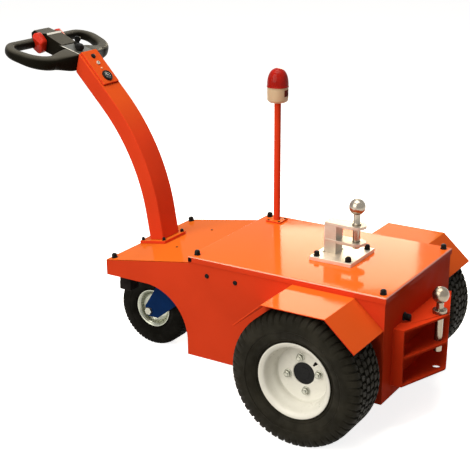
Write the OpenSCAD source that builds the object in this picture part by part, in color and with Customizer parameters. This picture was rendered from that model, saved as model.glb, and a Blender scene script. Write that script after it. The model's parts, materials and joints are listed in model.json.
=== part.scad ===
// Electric tow tractor, walked by a fixed tiller, on two driven wheels and one swivel caster.
// Millimetres. +X points to the drawbar end, -X to the operator, +Z is up.
// The origin is on the floor under the lid's front edge, half way along the machine.

/* [Body] */
// Width over the side panels
body_w = 479; // [440:1:520]
// Thickness of the folded body sheet
sheet_t = 3; // [2:0.5:4]
// Length of the lidded deck behind the nose
deck_len = 663; // [640:1:720]
// Height of the lid's top above the floor
deck_z = 442; // [436:1:470]
// Depth of the lid's turned-down rim
lip_h = 20; // [14:1:26]
// Length of the sloping nose
nose_len = 321; // [310:1:360]
// Height of the nose's top at its rear end
nose_rear_z = 421; // [415:1:422]
// Height of the nose's top at its front edge
nose_front_z = 368.5; // [360:0.5:380]
// Height of the nose's lower edge
nose_low_z = 317; // [314:1:325]
// Height of the body's underside
belly_z = 109; // [90:1:130]
// Radius of the arch over the caster
arch_r = 160; // [140:1:180]
// Distance of the arch's upright edge ahead of the lid
arch_edge = 10; // [0:1:20]
// Place of the bulkhead behind the lid's front edge
bulkhead_x = 75; // [70:1:90]

/* [Fenders] */
// Height of the fenders' flat tops
fender_z = 422; // [420:1:430]
// Length of the flat top
fender_flat = 200; // [180:1:220]
// Length of each sloping end, measured along the floor
fender_slope_run = 93; // [80:1:100]
// Drop of each sloping end
fender_drop = 82; // [60:1:90]
// Width of the fenders, out from the body's sides
fender_w = 182.5; // [175:0.5:195]

/* [Drive wheels] */
// Distance of the drive axle ahead of the lid's rear edge
axle_back = 198; // [188:1:208]
// Radius of the drive tyres
tyre_r = 206; // [195:1:206]
// Width of the drive tyres
tyre_w = 162; // [145:1:164]
// Gap between the tyres and the body's sides
tyre_gap = 19.5; // [16:0.5:24]
// Radius at the rim's bead seat
rim_seat_r = 101.6; // [95:0.1:105]
// Height of the rim's flange above the bead seat
rim_flange_h = 14; // [10:1:18]
// Width between the rim's flanges, outside
rim_w = 138; // [125:1:140]
// Thickness of the rim's steel
rim_t = 3.5; // [3:0.5:5]
// Depth of the wheel disc below the outer flange
disc_depth = 60; // [50:1:66]
// Radius of the wheel disc's middle hole
disc_hole_r = 34; // [30:1:36]
// Pitch circle of the wheel nuts
nut_pcd = 101.6; // [98:0.1:110]
// Number of wheel nuts
nut_count = 4; // [3:1:6]
// Radius of the axle shafts
shaft_r = 17.5; // [15:0.5:20]
// Radius of the axle tubes
axle_tube_r = 32; // [28:1:36]

/* [Caster] */
// Place of the swivel axis ahead of the lid's front edge
swivel_x = -185; // [-190:1:-180]
// Distance of the caster's axle from the swivel axis
trail = 108; // [95:1:112]
// Radius of the caster tyre
caster_r = 130; // [120:1:132]
// Width of the caster tyre
caster_w = 85; // [70:1:88]
// Radius of the caster rim's flange
caster_rim_r = 66; // [60:1:70]
// Height of the caster from the floor to its mounting face
caster_h = 303; // [300:1:308]
// Thickness of the fork's plates
fork_t = 6; // [5:0.5:8]
// Radius of the caster's axle bolt
caster_axle_r = 8; // [6:0.5:10]
// Radius of the king pin
king_r = 11; // [8:0.5:14]

/* [Tiller] */
// Width of the tiller arm
arm_w = 92; // [80:1:100]
// Depth of the tiller arm
arm_d = 54; // [46:1:58]
// Place of the arm's rear face at its foot
arm_foot_x = -231; // [-236:1:-228]
// Length of the arm's straight foot
arm_foot_len = 88; // [78:1:98]
// Radius of the arm's outer curve
arm_curve_r = 700; // [660:1:740]
// Lean of the arm's upper end from the vertical
arm_lean = 43; // [40:0.5:46]
// Length of the arm's straight upper end, on its rear face
arm_top_len = 182; // [170:1:190]
// Thickness of the plate under the arm
base_t = 10; // [8:1:14]
// Length of the plate under the arm
base_len = 104; // [96:1:106]
// Width of the plate under the arm
base_w = 122; // [114:1:130]

/* [Handle] */
// Tilt of the handle from the horizontal
handle_tilt = 15.4; // [10:0.1:20]
// Half the handle's width at its widest, to the middle of the grip
handle_half = 212; // [200:1:216]
// Half the handle's width at its rear corners, to the middle of the grip
handle_rear_half = 170; // [160:1:180]
// Distance of the front grip from the arm's end
grip_u = 184; // [176:1:192]
// Distance of the rear bar's middle from the arm's end
rear_bar_u = 42; // [38:1:46]
// Thickness of the front grip
grip_d = 30; // [26:1:34]
// Height of the rear bar
rear_bar_h = 44; // [38:1:48]
// Width of the rear bar
rear_bar_w = 42; // [36:1:46]
// Width of the control box
box_w = 74; // [66:1:80]

/* [Beacon] */
// Place of the beacon's pole behind the lid's front edge
beacon_x = 62; // [50:1:80]
// Distance of the pole in from the body's side
beacon_in = 46.5; // [40:0.5:60]
// Radius of the pole
pole_r = 11; // [9:0.5:13]
// Height of the pole above the lid
pole_h = 400; // [350:1:450]
// Radius of the beacon's base
beacon_r = 34.5; // [32:0.5:40]
// Height of the beacon's base
beacon_base_h = 50; // [40:1:60]
// Height of the beacon's dome
dome_h = 60; // [50:1:70]

/* [Hitches] */
// Radius of the tow balls
ball_r = 25; // [22:0.5:28]
// Radius of the hitch pins
pin_r = 12; // [10:0.5:13]
// Distance of the upper hitch's plate from the lid's rear edge, to its front edge
upper_plate_back = 330; // [320:1:345]
// Length of the upper hitch's plate
upper_plate_len = 140; // [130:1:150]
// Width of the upper hitch's plate
upper_plate_w = 164; // [150:1:180]
// Thickness of the upper hitch's plate
upper_plate_t = 12; // [8:1:14]
// Width of the upper hitch's tongues
tongue_w = 46; // [42:1:54]
// Thickness of the upper hitch's tongues
tongue_t = 9; // [7:1:12]
// Half the width of the rear hitch
rear_half = 178; // [165:1:190]
// Depth of the rear hitch at its ends
rear_end_d = 34; // [28:1:40]
// Depth of the rear hitch at its tip
rear_tip_d = 97; // [92:1:97]
// Thickness of the rear hitch's plates
rear_t = 7; // [5:1:9]
// Height of the rear hitch's top face
rear_top_z = 326; // [320:1:330]
// Distance between the rear hitch's plates, top to top
rear_pitch = 86; // [80:1:90]

/* [Hidden] */
$fn = 64;

// Colours
orange = [0.84, 0.27, 0.13];
black = [0.07, 0.07, 0.07];
charcoal = [0.17, 0.17, 0.17];
steel = [0.74, 0.73, 0.70];
cream = [0.92, 0.90, 0.82];
red = [0.80, 0.10, 0.08];
navy = [0.08, 0.13, 0.27];

// Clearances
lap_clear = 0.3;
run_clear = 0.05;
face_clear = 0.3;
over = 1;

// Body planes worked out from the driving dimensions
side_y = body_w / 2;
inner_y = side_y - sheet_t;
rear_x = deck_len - sheet_t - lap_clear;
axle_x = deck_len - axle_back;
track_half = side_y + tyre_gap + tyre_w / 2;
lid_under_z = deck_z - sheet_t;
nose_slope = atan((nose_rear_z - nose_front_z) / nose_len);
slope_t = sheet_t / cos(nose_slope);
function nose_top(x) = nose_rear_z + x * tan(nose_slope);
arch_x = -arch_edge - arch_r;
arch_z = nose_low_z - arch_r;

// Mirrors its children to both sides of the machine
module both_sides() {
    children();
    mirror([0, 1, 0]) children();
}

// Draws an outline of x and z and gives it a width along Y, starting at y
module side_plate(y, width) {
    translate([0, y + width, 0]) rotate([90, 0, 0]) linear_extrude(width) children();
}

// Body shell

module side_outline() {
    nose_in_x = -nose_len + sheet_t;
    difference() {
        polygon([
            [nose_in_x, belly_z], [rear_x, belly_z], [rear_x, lid_under_z],
            [sheet_t + lap_clear, lid_under_z], [sheet_t + lap_clear, nose_rear_z - slope_t],
            [0, nose_rear_z - slope_t], [nose_in_x, nose_top(nose_in_x) - slope_t]
        ]);
        translate([arch_x, arch_z]) circle(arch_r);
        translate([nose_in_x - over, belly_z - over])
            square([arch_x - nose_in_x + over, nose_low_z - belly_z + over]);
        translate([nose_in_x - over, belly_z - over])
            square([-arch_edge - nose_in_x + over, arch_z - belly_z + over]);
    }
}

module side_panel() {
    difference() {
        side_plate(-side_y, sheet_t) side_outline();
        translate([axle_x, -side_y - over, tyre_r])
            rotate([-90, 0, 0]) cylinder(r = axle_tube_r + lap_clear, h = sheet_t + 2 * over);
    }
}

module side_panel_left() { color(orange) side_panel(); }
module side_panel_right() { color(orange) mirror([0, 1, 0]) side_panel(); }

module nose_plate() {
    wall_x = -nose_len + sheet_t;
    color(orange) side_plate(-side_y, body_w) polygon([
        [0, nose_rear_z], [-nose_len, nose_front_z], [-nose_len, nose_low_z], [wall_x, nose_low_z],
        [wall_x, nose_top(wall_x) - slope_t], [0, nose_rear_z - slope_t]
    ]);
}

module rear_panel() {
    color(orange) translate([rear_x - sheet_t, -inner_y, belly_z])
        cube([sheet_t, 2 * inner_y, lid_under_z - belly_z]);
}

module lid() {
    lid_half = side_y + lap_clear + sheet_t;
    color(orange) difference() {
        translate([0, -lid_half, deck_z - lip_h]) cube([deck_len, 2 * lid_half, lip_h]);
        translate([sheet_t, -side_y - lap_clear, deck_z - lip_h - over])
            cube([deck_len - 2 * sheet_t, body_w + 2 * lap_clear, lip_h - sheet_t + over]);
    }
}

module floor_pan() {
    color(orange) translate([bulkhead_x, -inner_y, belly_z])
        cube([rear_x - sheet_t - bulkhead_x, 2 * inner_y, sheet_t]);
}

module bulkhead() {
    color(orange) translate([bulkhead_x, -inner_y, belly_z + sheet_t])
        cube([sheet_t, 2 * inner_y, lid_under_z - belly_z - sheet_t]);
}

// Motor and gear case on the floor pan, with a tube to each drive wheel
case_len = 190;
case_w = 240;
case_rise = 90;
tube_out = 60.5;
tube_end_y = side_y + tube_out;

module transaxle() {
    case_h = tyre_r - belly_z - sheet_t + case_rise;
    color(charcoal) difference() {
        union() {
            translate([axle_x - case_len / 2, -case_w / 2, belly_z + sheet_t])
                cube([case_len, case_w, case_h]);
            translate([axle_x, -tube_end_y, tyre_r])
                rotate([-90, 0, 0]) cylinder(r = axle_tube_r, h = 2 * tube_end_y);
        }
        both_sides() translate([axle_x, -tube_end_y - over, tyre_r])
            rotate([-90, 0, 0]) cylinder(r = shaft_r + run_clear, h = tube_end_y - case_w / 2 + over);
    }
}

// Battery pack standing on the floor pan between the bulkhead and the gear case
battery_front_gap = 10;
battery_rear_gap = 72;
battery_side_gap = 46.5;
battery_h = 230;

module battery() {
    front = bulkhead_x + sheet_t + battery_front_gap;
    rear = axle_x - case_len / 2 - battery_rear_gap;
    half = inner_y - battery_side_gap;
    color(black) translate([front, -half, belly_z + sheet_t]) cube([rear - front, 2 * half, battery_h]);
}

module fender() {
    half = fender_flat / 2;
    foot = half + fender_slope_run;
    side_plate(-side_y - fender_w, fender_w) translate([axle_x, fender_z]) polygon([
        [-half, 0], [half, 0], [foot, -fender_drop], [foot - sheet_t, -fender_drop - sheet_t],
        [half - sheet_t / 2, -sheet_t], [-half + sheet_t / 2, -sheet_t],
        [-foot + sheet_t, -fender_drop - sheet_t], [-foot, -fender_drop]
    ]);
}

module fender_left() { color(orange) fender(); }
module fender_right() { color(orange) mirror([0, 1, 0]) fender(); }

// Channel across the nose that carries the caster, with ears that reach the side panels
bridge_t = 5;
bridge_h = 42;
bridge_front = 98;
bridge_rear = 66;
bridge_in = 24;
ear_gap = 2;

module caster_bridge() {
    half = inner_y - bridge_in;
    ear_z = nose_low_z + ear_gap;
    color(orange) {
        side_plate(-half, 2 * half) translate([swivel_x, caster_h]) polygon([
            [-bridge_front, 0], [bridge_rear, 0], [bridge_rear, bridge_h], [bridge_rear - bridge_t, bridge_h],
            [bridge_rear - bridge_t, bridge_t], [-bridge_front + bridge_t, bridge_t],
            [-bridge_front + bridge_t, bridge_h], [-bridge_front, bridge_h]
        ]);
        for (x = [-bridge_front, bridge_rear - bridge_t]) translate([swivel_x + x, -inner_y, ear_z])
            cube([bridge_t, 2 * inner_y, caster_h + bridge_h - ear_z]);
    }
}

// Rubber stops under the ends of the channel, each with a lip up behind the side panel
buffer_size = [46, 44, 27];
buffer_chamfer = 4;
buffer_x = 8;
lip_lap = 8;

module nose_buffers() {
    color(black) both_sides()
        translate([swivel_x - bridge_front + buffer_x, -inner_y, caster_h - buffer_size[2]]) {
            linear_extrude(buffer_size[2]) polygon([
                [buffer_chamfer, 0], [buffer_size[0], 0], [buffer_size[0], buffer_size[1]],
                [buffer_chamfer, buffer_size[1]], [0, buffer_size[1] - buffer_chamfer], [0, buffer_chamfer]
            ]);
            translate([buffer_chamfer, 0, buffer_size[2] - over])
                cube([buffer_size[0] - buffer_chamfer, bridge_in, nose_low_z + lip_lap - caster_h + over]);
        }
}

// Black domed cap over a nut, standing on z = 0
cap_r = 10;
cap_h = 16;
cap_skirt_h = 3;
cap_neck_r = 8.8;
cap_crown_r = 6;
cap_crown_h = 4;

module cap(scale_by = 1) {
    scale(scale_by) rotate_extrude() polygon([
        [0, 0], [cap_r, 0], [cap_r, cap_skirt_h], [cap_neck_r, cap_skirt_h + cap_r - cap_neck_r],
        [cap_neck_r, cap_h - cap_crown_h], [cap_crown_r, cap_h - cap_crown_h / 4], [0, cap_h]
    ]);
}

cap_inset = 20;

module lid_caps() {
    color(black) for (x = [cap_inset, deck_len - cap_inset]) both_sides()
        translate([x, -side_y + cap_inset, deck_z]) cap();
}

// Puts its children on the sloping nose, with their own z square to it
module on_nose(x) {
    translate([x, 0, nose_top(x)]) rotate([0, -nose_slope, 0]) children();
}

module nose_caps() {
    color(black) both_sides() on_nose(-nose_len + cap_inset) translate([0, -side_y + cap_inset, 0]) cap();
}

// Tiller

base_front_gap = 4;
base_mid_x = -nose_len + base_front_gap + base_len / 2 * cos(nose_slope);
base_cap_inset = 9;
base_cap_scale = 0.65;

module tiller_base() {
    color(orange) on_nose(base_mid_x)
        translate([-base_len / 2, -base_w / 2, 0]) cube([base_len, base_w, base_t]);
}

module tiller_caps() {
    dx = base_len / 2 - base_cap_inset;
    dy = base_w / 2 - base_cap_inset;
    color(black) on_nose(base_mid_x) for (x = [-dx, dx], y = [-dy, dy])
        translate([x, y, base_t]) cap(base_cap_scale);
}

// Puts its children at the foot of the arm's rear face, with z along the arm's foot
module at_arm_foot() {
    on_nose(arm_foot_x) translate([0, 0, base_t]) children();
}

arm_turn = arm_lean - nose_slope;

// Puts its children at the start of the arm's straight upper end, on its rear face, with z up the arm
module at_arm_top() {
    at_arm_foot() translate([-arm_curve_r, 0, arm_foot_len]) rotate([0, -arm_turn, 0])
        translate([arm_curve_r, 0, 0]) children();
}

// Angle of the arm's end face from square, so that the face meets the handle
end_cut = 90 - arm_lean - handle_tilt;
end_drop = arm_d * tan(end_cut);

// Points of the arm's curve at a radius from its centre, counted from the foot to the top
arm_steps = 20;
function arm_arc(radius) = [
    for (i = [0:arm_steps])
        let (angle = arm_turn * i / arm_steps)
        [-arm_curve_r + radius * cos(angle), arm_foot_len + radius * sin(angle)]
];
// Point beyond the curve's end, along the arm's upper end
function arm_beyond(radius, length) = arm_arc(radius)[arm_steps] + length * [-sin(arm_turn), cos(arm_turn)];
function reversed(list) = [for (i = [len(list) - 1:-1:0]) list[i]];

module tiller_arm() {
    front_r = arm_curve_r - arm_d;
    color(orange) at_arm_foot() side_plate(-arm_w / 2, arm_w) polygon(concat(
        [[-arm_d, 0], [0, 0]], arm_arc(arm_curve_r), [arm_beyond(arm_curve_r, arm_top_len)],
        [arm_beyond(front_r, arm_top_len - end_drop)], reversed(arm_arc(front_r))
    ));
}

// Raised plate on the upper end's rear face, with its instruments in a row
cover_w = 78;
cover_t = 7;
cover_len = 132;
gauge_r = 19.5;
gauge_h = 7;
gauge_bevel = 3;
gauge_sink = 1.5;
gauge_up = 28;

module on_cover(up) {
    at_arm_top() translate([0, 0, arm_top_len - cover_len + up]) rotate([0, 90, 0]) children();
}

module tiller_cover() {
    color(orange) on_cover(0) translate([-cover_len, -cover_w / 2, 0]) cube([cover_len, cover_w, cover_t]);
}

module tiller_gauge() {
    dial_r = gauge_r - 2 * gauge_bevel;
    color(black) on_cover(gauge_up) translate([0, 0, cover_t]) rotate_extrude() polygon([
        [0, 0], [gauge_r, 0], [gauge_r, gauge_h - gauge_bevel], [gauge_r - gauge_bevel, gauge_h],
        [dial_r, gauge_h], [dial_r - gauge_sink, gauge_h - gauge_sink], [0, gauge_h - gauge_sink]
    ]);
}

// Columns: distance up the cover, radius, height
button_table = [[59, 3.5, 3.5], [80, 7, 4.5], [108, 8.5, 8]];

module tiller_buttons() {
    color(black) for (row = button_table) on_cover(row[0])
        translate([0, 0, cover_t]) cylinder(r = row[1], h = row[2]);
}

// Handle

// Puts its children at the upper rear corner of the arm's end, with x along the handle towards the operator
module at_handle() {
    at_arm_top() translate([0, 0, arm_top_len]) rotate([0, arm_lean + handle_tilt, 0])
        rotate([0, 0, 180]) children();
}

ring_top = -14;
ring_steps = 8;
section_sides = 16;
front_corner_r = 46;
rear_corner_r = 78;
ring_power = 2.8;

// Columns: distance from the arm, distance from the middle, corner radius
ring_corners = [
    [grip_u, handle_half, front_corner_r], [rear_bar_u, handle_rear_half, rear_corner_r],
    [rear_bar_u, -handle_rear_half, rear_corner_r], [grip_u, -handle_half, front_corner_r]
];

function unit(v) = v / norm(v);
function bearing(v) = atan2(v[1], v[0]);
function turn_angle(a, b) = acos(max(-1, min(1, a * b)));
function corner_points(before, corner, after) =
    let (
        at = [corner[0], corner[1]],
        back = unit([before[0], before[1]] - at),
        ahead = unit([after[0], after[1]] - at),
        half = turn_angle(back, ahead) / 2,
        middle = at + unit(back + ahead) * corner[2] / sin(half),
        tangent = corner[2] / tan(half),
        from = bearing(at + back * tangent - middle),
        to = bearing(at + ahead * tangent - middle),
        swing = ((to - from + 360 + 180) % 360) - 180
    )
    [for (i = [0:ring_steps])
        let (angle = from + swing * i / ring_steps)
        middle + corner[2] * [cos(angle), sin(angle)]];
function ring_corner(i) = ring_corners[i % len(ring_corners)];
ring_path = [
    for (i = [0:3]) each corner_points(ring_corner(i + 3), ring_corner(i), ring_corner(i + 1))
];
ring_count = len(ring_path);
function ring_blend(u) = max(0, min(1, (u - rear_bar_u) / (grip_u - rear_bar_u)));
function ring_width(u) = rear_bar_w + (grip_d - rear_bar_w) * ring_blend(u);
function ring_height(u) = rear_bar_h + (grip_d - rear_bar_h) * ring_blend(u);
function power_sign(v) = sign(v) * pow(abs(v), 2 / ring_power);
function ring_section(i) =
    let (
        at = ring_path[i],
        ahead = ring_path[(i + 1) % ring_count],
        back = ring_path[(i + ring_count - 1) % ring_count],
        along = unit(ahead - back),
        side = [along[1], -along[0]]
    )
    [for (k = [0:section_sides - 1])
        let (
            angle = 360 * k / section_sides,
            out = ring_width(at[0]) / 2 * power_sign(cos(angle)),
            up = ring_height(at[0]) / 2 * power_sign(sin(angle))
        )
        [at[0] + side[0] * out, at[1] + side[1] * out, ring_top - ring_height(at[0]) / 2 + up]];
function ring_index(i, k) = (i % ring_count) * section_sides + k % section_sides;

module handle_ring() {
    polyhedron(
        points = [for (i = [0:ring_count - 1]) each ring_section(i)],
        faces = [for (i = [0:ring_count - 1], k = [0:section_sides - 1])
            [ring_index(i, k), ring_index(i, k + 1), ring_index(i + 1, k + 1), ring_index(i + 1, k)]]
    );
}

// Boss that joins the ring to the arm's end, level with the underside of the spine
end_face_h = arm_d / cos(end_cut);
spine_w = 84;
spine_top = -3;
boss_rise = 4;
spine_floor = ring_top + boss_rise;
block_gap = 2;
boss_front_u = rear_bar_u + rear_bar_w / 2 - block_gap;

module boss_outline(top) {
    polygon([
        [0, top], [boss_front_u, top], [boss_front_u, ring_top - rear_bar_h + boss_rise], [0, -end_face_h]
    ]);
}

// Shoulder that runs from the boss's side into the rear bar
shoulder_half = 128;
shoulder_t = 1;
shoulder_core = 28;

module handle_shoulder() {
    hull() {
        side_plate(-arm_w / 2, shoulder_t) boss_outline(spine_top - 1);
        side_plate(-shoulder_half, shoulder_t) translate([rear_bar_u, ring_top - rear_bar_h / 2])
            square(shoulder_core, center = true);
    }
}

module handle_frame() {
    color(charcoal) at_handle() union() {
        handle_ring();
        side_plate(-arm_w / 2, arm_w) boss_outline(spine_floor);
        both_sides() handle_shoulder();
    }
}

// Control box on a spine between the rear bar and the front grip
block_rear_u = rear_bar_u + rear_bar_w / 2 + block_gap;
spine_front_u = 88;
block_step_u = 80;
block_low = -0.5;
block_high = 9;
ridge_u = 146;
ridge_run = 4;
ridge_top = 14;
box_rear_u = 172;
box_front_u = 213;
box_top = 6;
box_floor = -46;
box_bevel = 12;
// Distances of the box's top, chin and floor back from its front
box_in = [10, 8, 20];
block_floor = -50;
grip_clear = 2;

module control_box() {
    color(charcoal) at_handle() difference() {
        union() {
            side_plate(-box_w / 2, box_w) polygon([
                [block_rear_u, spine_top], [block_step_u, spine_top], [block_step_u, block_low],
                [ridge_u, block_high], [ridge_u + ridge_run, ridge_top], [box_rear_u, box_top],
                [box_front_u - box_in[0], box_top], [box_front_u, box_top - box_bevel],
                [box_front_u - box_in[1], box_floor + box_bevel], [box_front_u - box_in[2], box_floor],
                [block_rear_u, block_floor]
            ]);
            translate([lap_clear, -spine_w / 2, spine_floor])
                cube([spine_front_u - lap_clear, spine_w, spine_top - spine_floor]);
        }
        translate([grip_u, -box_w, ring_top - grip_d / 2])
            rotate([-90, 0, 0]) cylinder(r = grip_d / 2 + grip_clear, h = 2 * box_w);
    }
}

// Red rocker on the grip at each side of the control box
paddle_w = 30;
paddle_gap = 2;
// Columns: distance from the grip along the handle, height from the grip, radius
paddle_table = [[-12, 27, 12], [-31, 23, 14], [-29, -9, 16], [-16, -7, 14]];

module paddle() {
    bar_z = ring_top - grip_d / 2;
    y = -box_w / 2 - paddle_gap - paddle_w;
    difference() {
        hull() for (row = paddle_table) translate([grip_u + row[0], y, bar_z + row[1]])
            rotate([-90, 0, 0]) cylinder(r = row[2], h = paddle_w, $fn = 32);
        translate([grip_u, y - over, bar_z])
            rotate([-90, 0, 0]) cylinder(r = grip_d / 2 + grip_clear, h = paddle_w + 2 * over);
    }
}

module throttle_paddles() { color(red) at_handle() both_sides() paddle(); }

// Columns: distance from the arm, distance from the middle, radius, height
knob_table = [[70, -28, 9, 26], [31, 6, 14, 20]];

module head_knobs() {
    color(black) at_handle() for (row = knob_table)
        translate([row[0], row[1], spine_top]) cylinder(r = row[2], h = row[3]);
}

// Beacon

beacon_y = side_y - beacon_in;
flange_w = 54;
flange_t = 5;

module beacon_pole() {
    color(orange) translate([beacon_x, beacon_y, deck_z]) {
        translate([-flange_w / 2, -flange_w / 2, 0]) cube([flange_w, flange_w, flange_t]);
        translate([0, 0, flange_t]) cylinder(r = pole_r, h = pole_h - flange_t);
    }
}

base_taper = 7;

module beacon_base() {
    color(cream) translate([beacon_x, beacon_y, deck_z + pole_h]) rotate_extrude() polygon([
        [0, 0], [beacon_r - base_taper, 0], [beacon_r - 1, base_taper], [beacon_r, beacon_base_h],
        [0, beacon_base_h]
    ]);
}

// Bullet-shaped dome on a thin rim that stands out over the base
dome_rim = 1.5;
dome_rim_h = 4;
dome_steps = 14;
dome_power = 3;

module beacon_dome() {
    rim_r = beacon_r + dome_rim;
    wall_r = beacon_r - dome_rim;
    wall = [for (i = [0:dome_steps])
        let (up = sin(90 * i / dome_steps))
        [wall_r * pow(1 - pow(up, dome_power), 0.4), dome_rim_h + (dome_h - dome_rim_h) * up]];
    color(red) translate([beacon_x, beacon_y, deck_z + pole_h + beacon_base_h]) rotate_extrude()
        polygon(concat([[0, 0], [rim_r, 0], [rim_r, dome_rim_h]], wall));
}

// Ball on a pin, with a collar that rests on z = 0 and a shaft below it
collar_h = 11;
neck_len = 24;
collar_share = 1.8;
neck_share = 0.9;
ball_share = 0.85;

module ball_pin(drop) {
    collar_r = pin_r * collar_share;
    neck_r = pin_r * neck_share;
    union() {
        cylinder(r = collar_r, h = collar_h);
        translate([0, 0, -drop]) cylinder(r = pin_r, h = drop + over);
        translate([0, 0, collar_h - over]) cylinder(r = neck_r, h = neck_len + over);
        translate([0, 0, collar_h + neck_len + ball_r * ball_share]) sphere(ball_r);
    }
}

// Upper hitch on the lid

upright_d = 40;
upper_plate_x = deck_len - upper_plate_back;
upright_in = 19;
upright_x = upper_plate_x + upright_in;
upper_pin_in = 116;
upper_pin_x = upper_plate_x + upper_pin_in;
tongue_tip_r = 30;
upper_plate_z = deck_z + upper_plate_t;
upper_top_h = 108;
upper_top_z = deck_z + upper_top_h;
upper_low_h = 55;
upper_low_z = deck_z + upper_low_h;
pin_below = 12;

module upper_hitch_plate() {
    color(steel) translate([upper_plate_x, -upper_plate_w / 2, deck_z])
        cube([upper_plate_len, upper_plate_w, upper_plate_t]);
}

module tongue_outline() {
    half = tongue_w / 2;
    polygon([
        [upright_x, -half], [upper_pin_x, -tongue_tip_r], [upper_pin_x, tongue_tip_r], [upright_x, half]
    ]);
    translate([upper_pin_x, 0]) circle(tongue_tip_r);
}

module upper_hitch_bracket() {
    color(steel) difference() {
        union() {
            translate([upright_x, -tongue_w / 2, upper_plate_z])
                cube([upright_d, tongue_w, upper_top_z - upper_plate_z]);
            for (z = [upper_top_z, upper_low_z]) translate([0, 0, z - tongue_t])
                linear_extrude(tongue_t) tongue_outline();
        }
        translate([upper_pin_x, 0, upper_plate_z])
            cylinder(r = pin_r + lap_clear, h = upper_top_z - upper_plate_z + over);
    }
}

module upper_hitch_ball() {
    drop = upper_top_z - upper_low_z + tongue_t + pin_below;
    color(steel) translate([upper_pin_x, 0, upper_top_z]) ball_pin(drop);
}

module hitch_caps() {
    inset = 17;
    color(black) for (x = [upper_plate_x + inset, upper_plate_x + upper_plate_len - inset]) both_sides()
        translate([x, -upper_plate_w / 2 + inset, upper_plate_z]) cap();
}

// Rear hitch on the rear panel

plug_r = 13;
plug_in = 74;
plug_over = 11;
plug_y = -rear_half + plug_in;
notch_gap = 8;

pin_from_tip = 29;
pin_foot = 29;
rear_pin_x = rear_x + rear_tip_d - pin_from_tip;

// Outline of one plate from the rear panel, tapered to a round tip about the pin
module rear_outline() {
    pin = [rear_tip_d - pin_from_tip, 0];
    corner = [rear_end_d, rear_half];
    spread = acos(pin_from_tip / norm(corner - pin));
    side = atan2(corner[1], corner[0] - pin[0]) - spread;
    touch = pin + pin_from_tip * [cos(side), sin(side)];
    polygon([
        [0, -corner[1]], [corner[0], -corner[1]], [touch[0], -touch[1]], pin, touch, corner, [0, corner[1]]
    ]);
    translate(pin) circle(pin_from_tip);
}

module rear_hitch() {
    color(orange) difference() {
        union() {
            for (i = [0:2]) translate([rear_x, 0, rear_top_z - rear_t - i * rear_pitch])
                linear_extrude(rear_t) rear_outline();
            both_sides() translate([rear_x, -rear_half, rear_top_z - rear_t - 2 * rear_pitch])
                cube([rear_end_d, rear_t, 2 * rear_pitch + rear_t]);
        }
        translate([rear_pin_x, 0, rear_top_z - rear_t - 2 * rear_pitch - over])
            cylinder(r = pin_r + lap_clear, h = 2 * rear_pitch + rear_t + 2 * over);
        translate([rear_x, plug_y, rear_top_z - rear_t - over])
            cylinder(r = plug_r + notch_gap, h = rear_t + 2 * over);
    }
}

module rear_hitch_pin() {
    color(steel) translate([rear_pin_x, 0, rear_top_z]) ball_pin(rear_pitch + rear_t + pin_foot);
}

// Stepped cable plug on the rear panel, over the notch
plug_lip = 3;
plug_body_h = 18;

module rear_plug() {
    body_r = plug_r - plug_lip;
    end_h = plug_body_h + plug_lip;
    color(black) translate([rear_x, plug_y, rear_top_z + plug_over])
        rotate([0, 90, 0]) rotate_extrude() polygon([
            [0, 0], [plug_r, 0], [plug_r, plug_lip], [body_r, 2 * plug_lip],
            [body_r, plug_body_h], [body_r - plug_lip, end_h], [0, end_h]
        ]);
}

// Caster

caster_x = swivel_x - trail;
crown_gap = 14;
crown_z = 2 * caster_r + crown_gap;
plate_t = 7;
leg_gap = 8;
fork_in = caster_w / 2 + leg_gap;
king_below = 2;
sleeve_r = 34;
crown_front = 40;
crown_rear = 46;
toe_r = 16;
leg_drop = 21;
heel_len = 34;
cheek_h = 70;

module caster_plate() {
    plate_len = 130;
    plate_w = 110;
    color(steel) union() {
        translate([swivel_x - plate_len / 2, -plate_w / 2, caster_h - plate_t])
            cube([plate_len, plate_w, plate_t]);
        translate([swivel_x, 0, crown_z - king_below])
            cylinder(r = king_r, h = caster_h - plate_t - crown_z + king_below + over);
    }
}

// Leg that leans back from the crown: its toe is round about the axle and its heel reaches behind it
module fork_leg_outline() {
    toe_z = caster_r - leg_drop;
    translate([caster_x, toe_z + toe_r]) circle(toe_r);
    polygon([
        [caster_x - toe_r, toe_z + toe_r], [caster_x - toe_r, caster_r + toe_r],
        [swivel_x - crown_front, crown_z + fork_t], [swivel_x + crown_rear, crown_z + fork_t],
        [swivel_x + crown_rear, crown_z - cheek_h], [caster_x + heel_len, toe_z], [caster_x, toe_z]
    ]);
}

module caster_fork() {
    color(navy) difference() {
        union() {
            both_sides() side_plate(-fork_in - fork_t, fork_t) fork_leg_outline();
            translate([swivel_x - crown_front, -fork_in, crown_z])
                cube([crown_front + crown_rear, 2 * fork_in, fork_t]);
            translate([swivel_x, 0, crown_z + fork_t])
                cylinder(r = sleeve_r, h = caster_h - plate_t - face_clear - crown_z - fork_t);
        }
        translate([swivel_x, 0, crown_z - over]) cylinder(r = king_r + run_clear, h = caster_h - crown_z);
        translate([caster_x, -fork_in - fork_t - over, caster_r])
            rotate([-90, 0, 0]) cylinder(r = caster_axle_r + run_clear, h = 2 * (fork_in + fork_t + over));
    }
}

module caster_axle() {
    head_h = 9;
    end_y = fork_in + fork_t;
    color(steel) translate([caster_x, 0, caster_r]) rotate([90, 0, 0]) union() {
        translate([0, 0, -end_y]) cylinder(r = caster_axle_r, h = 2 * end_y);
        for (z = [-end_y - head_h, end_y]) translate([0, 0, z])
            cylinder(r = caster_axle_r * 1.7, h = head_h, $fn = 6);
    }
}

// Revolves an outline of radius and width about an axle along Y
module about_axle(x, y, z) {
    translate([x, y, z]) rotate([-90, 0, 0]) rotate_extrude() children();
}

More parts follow.
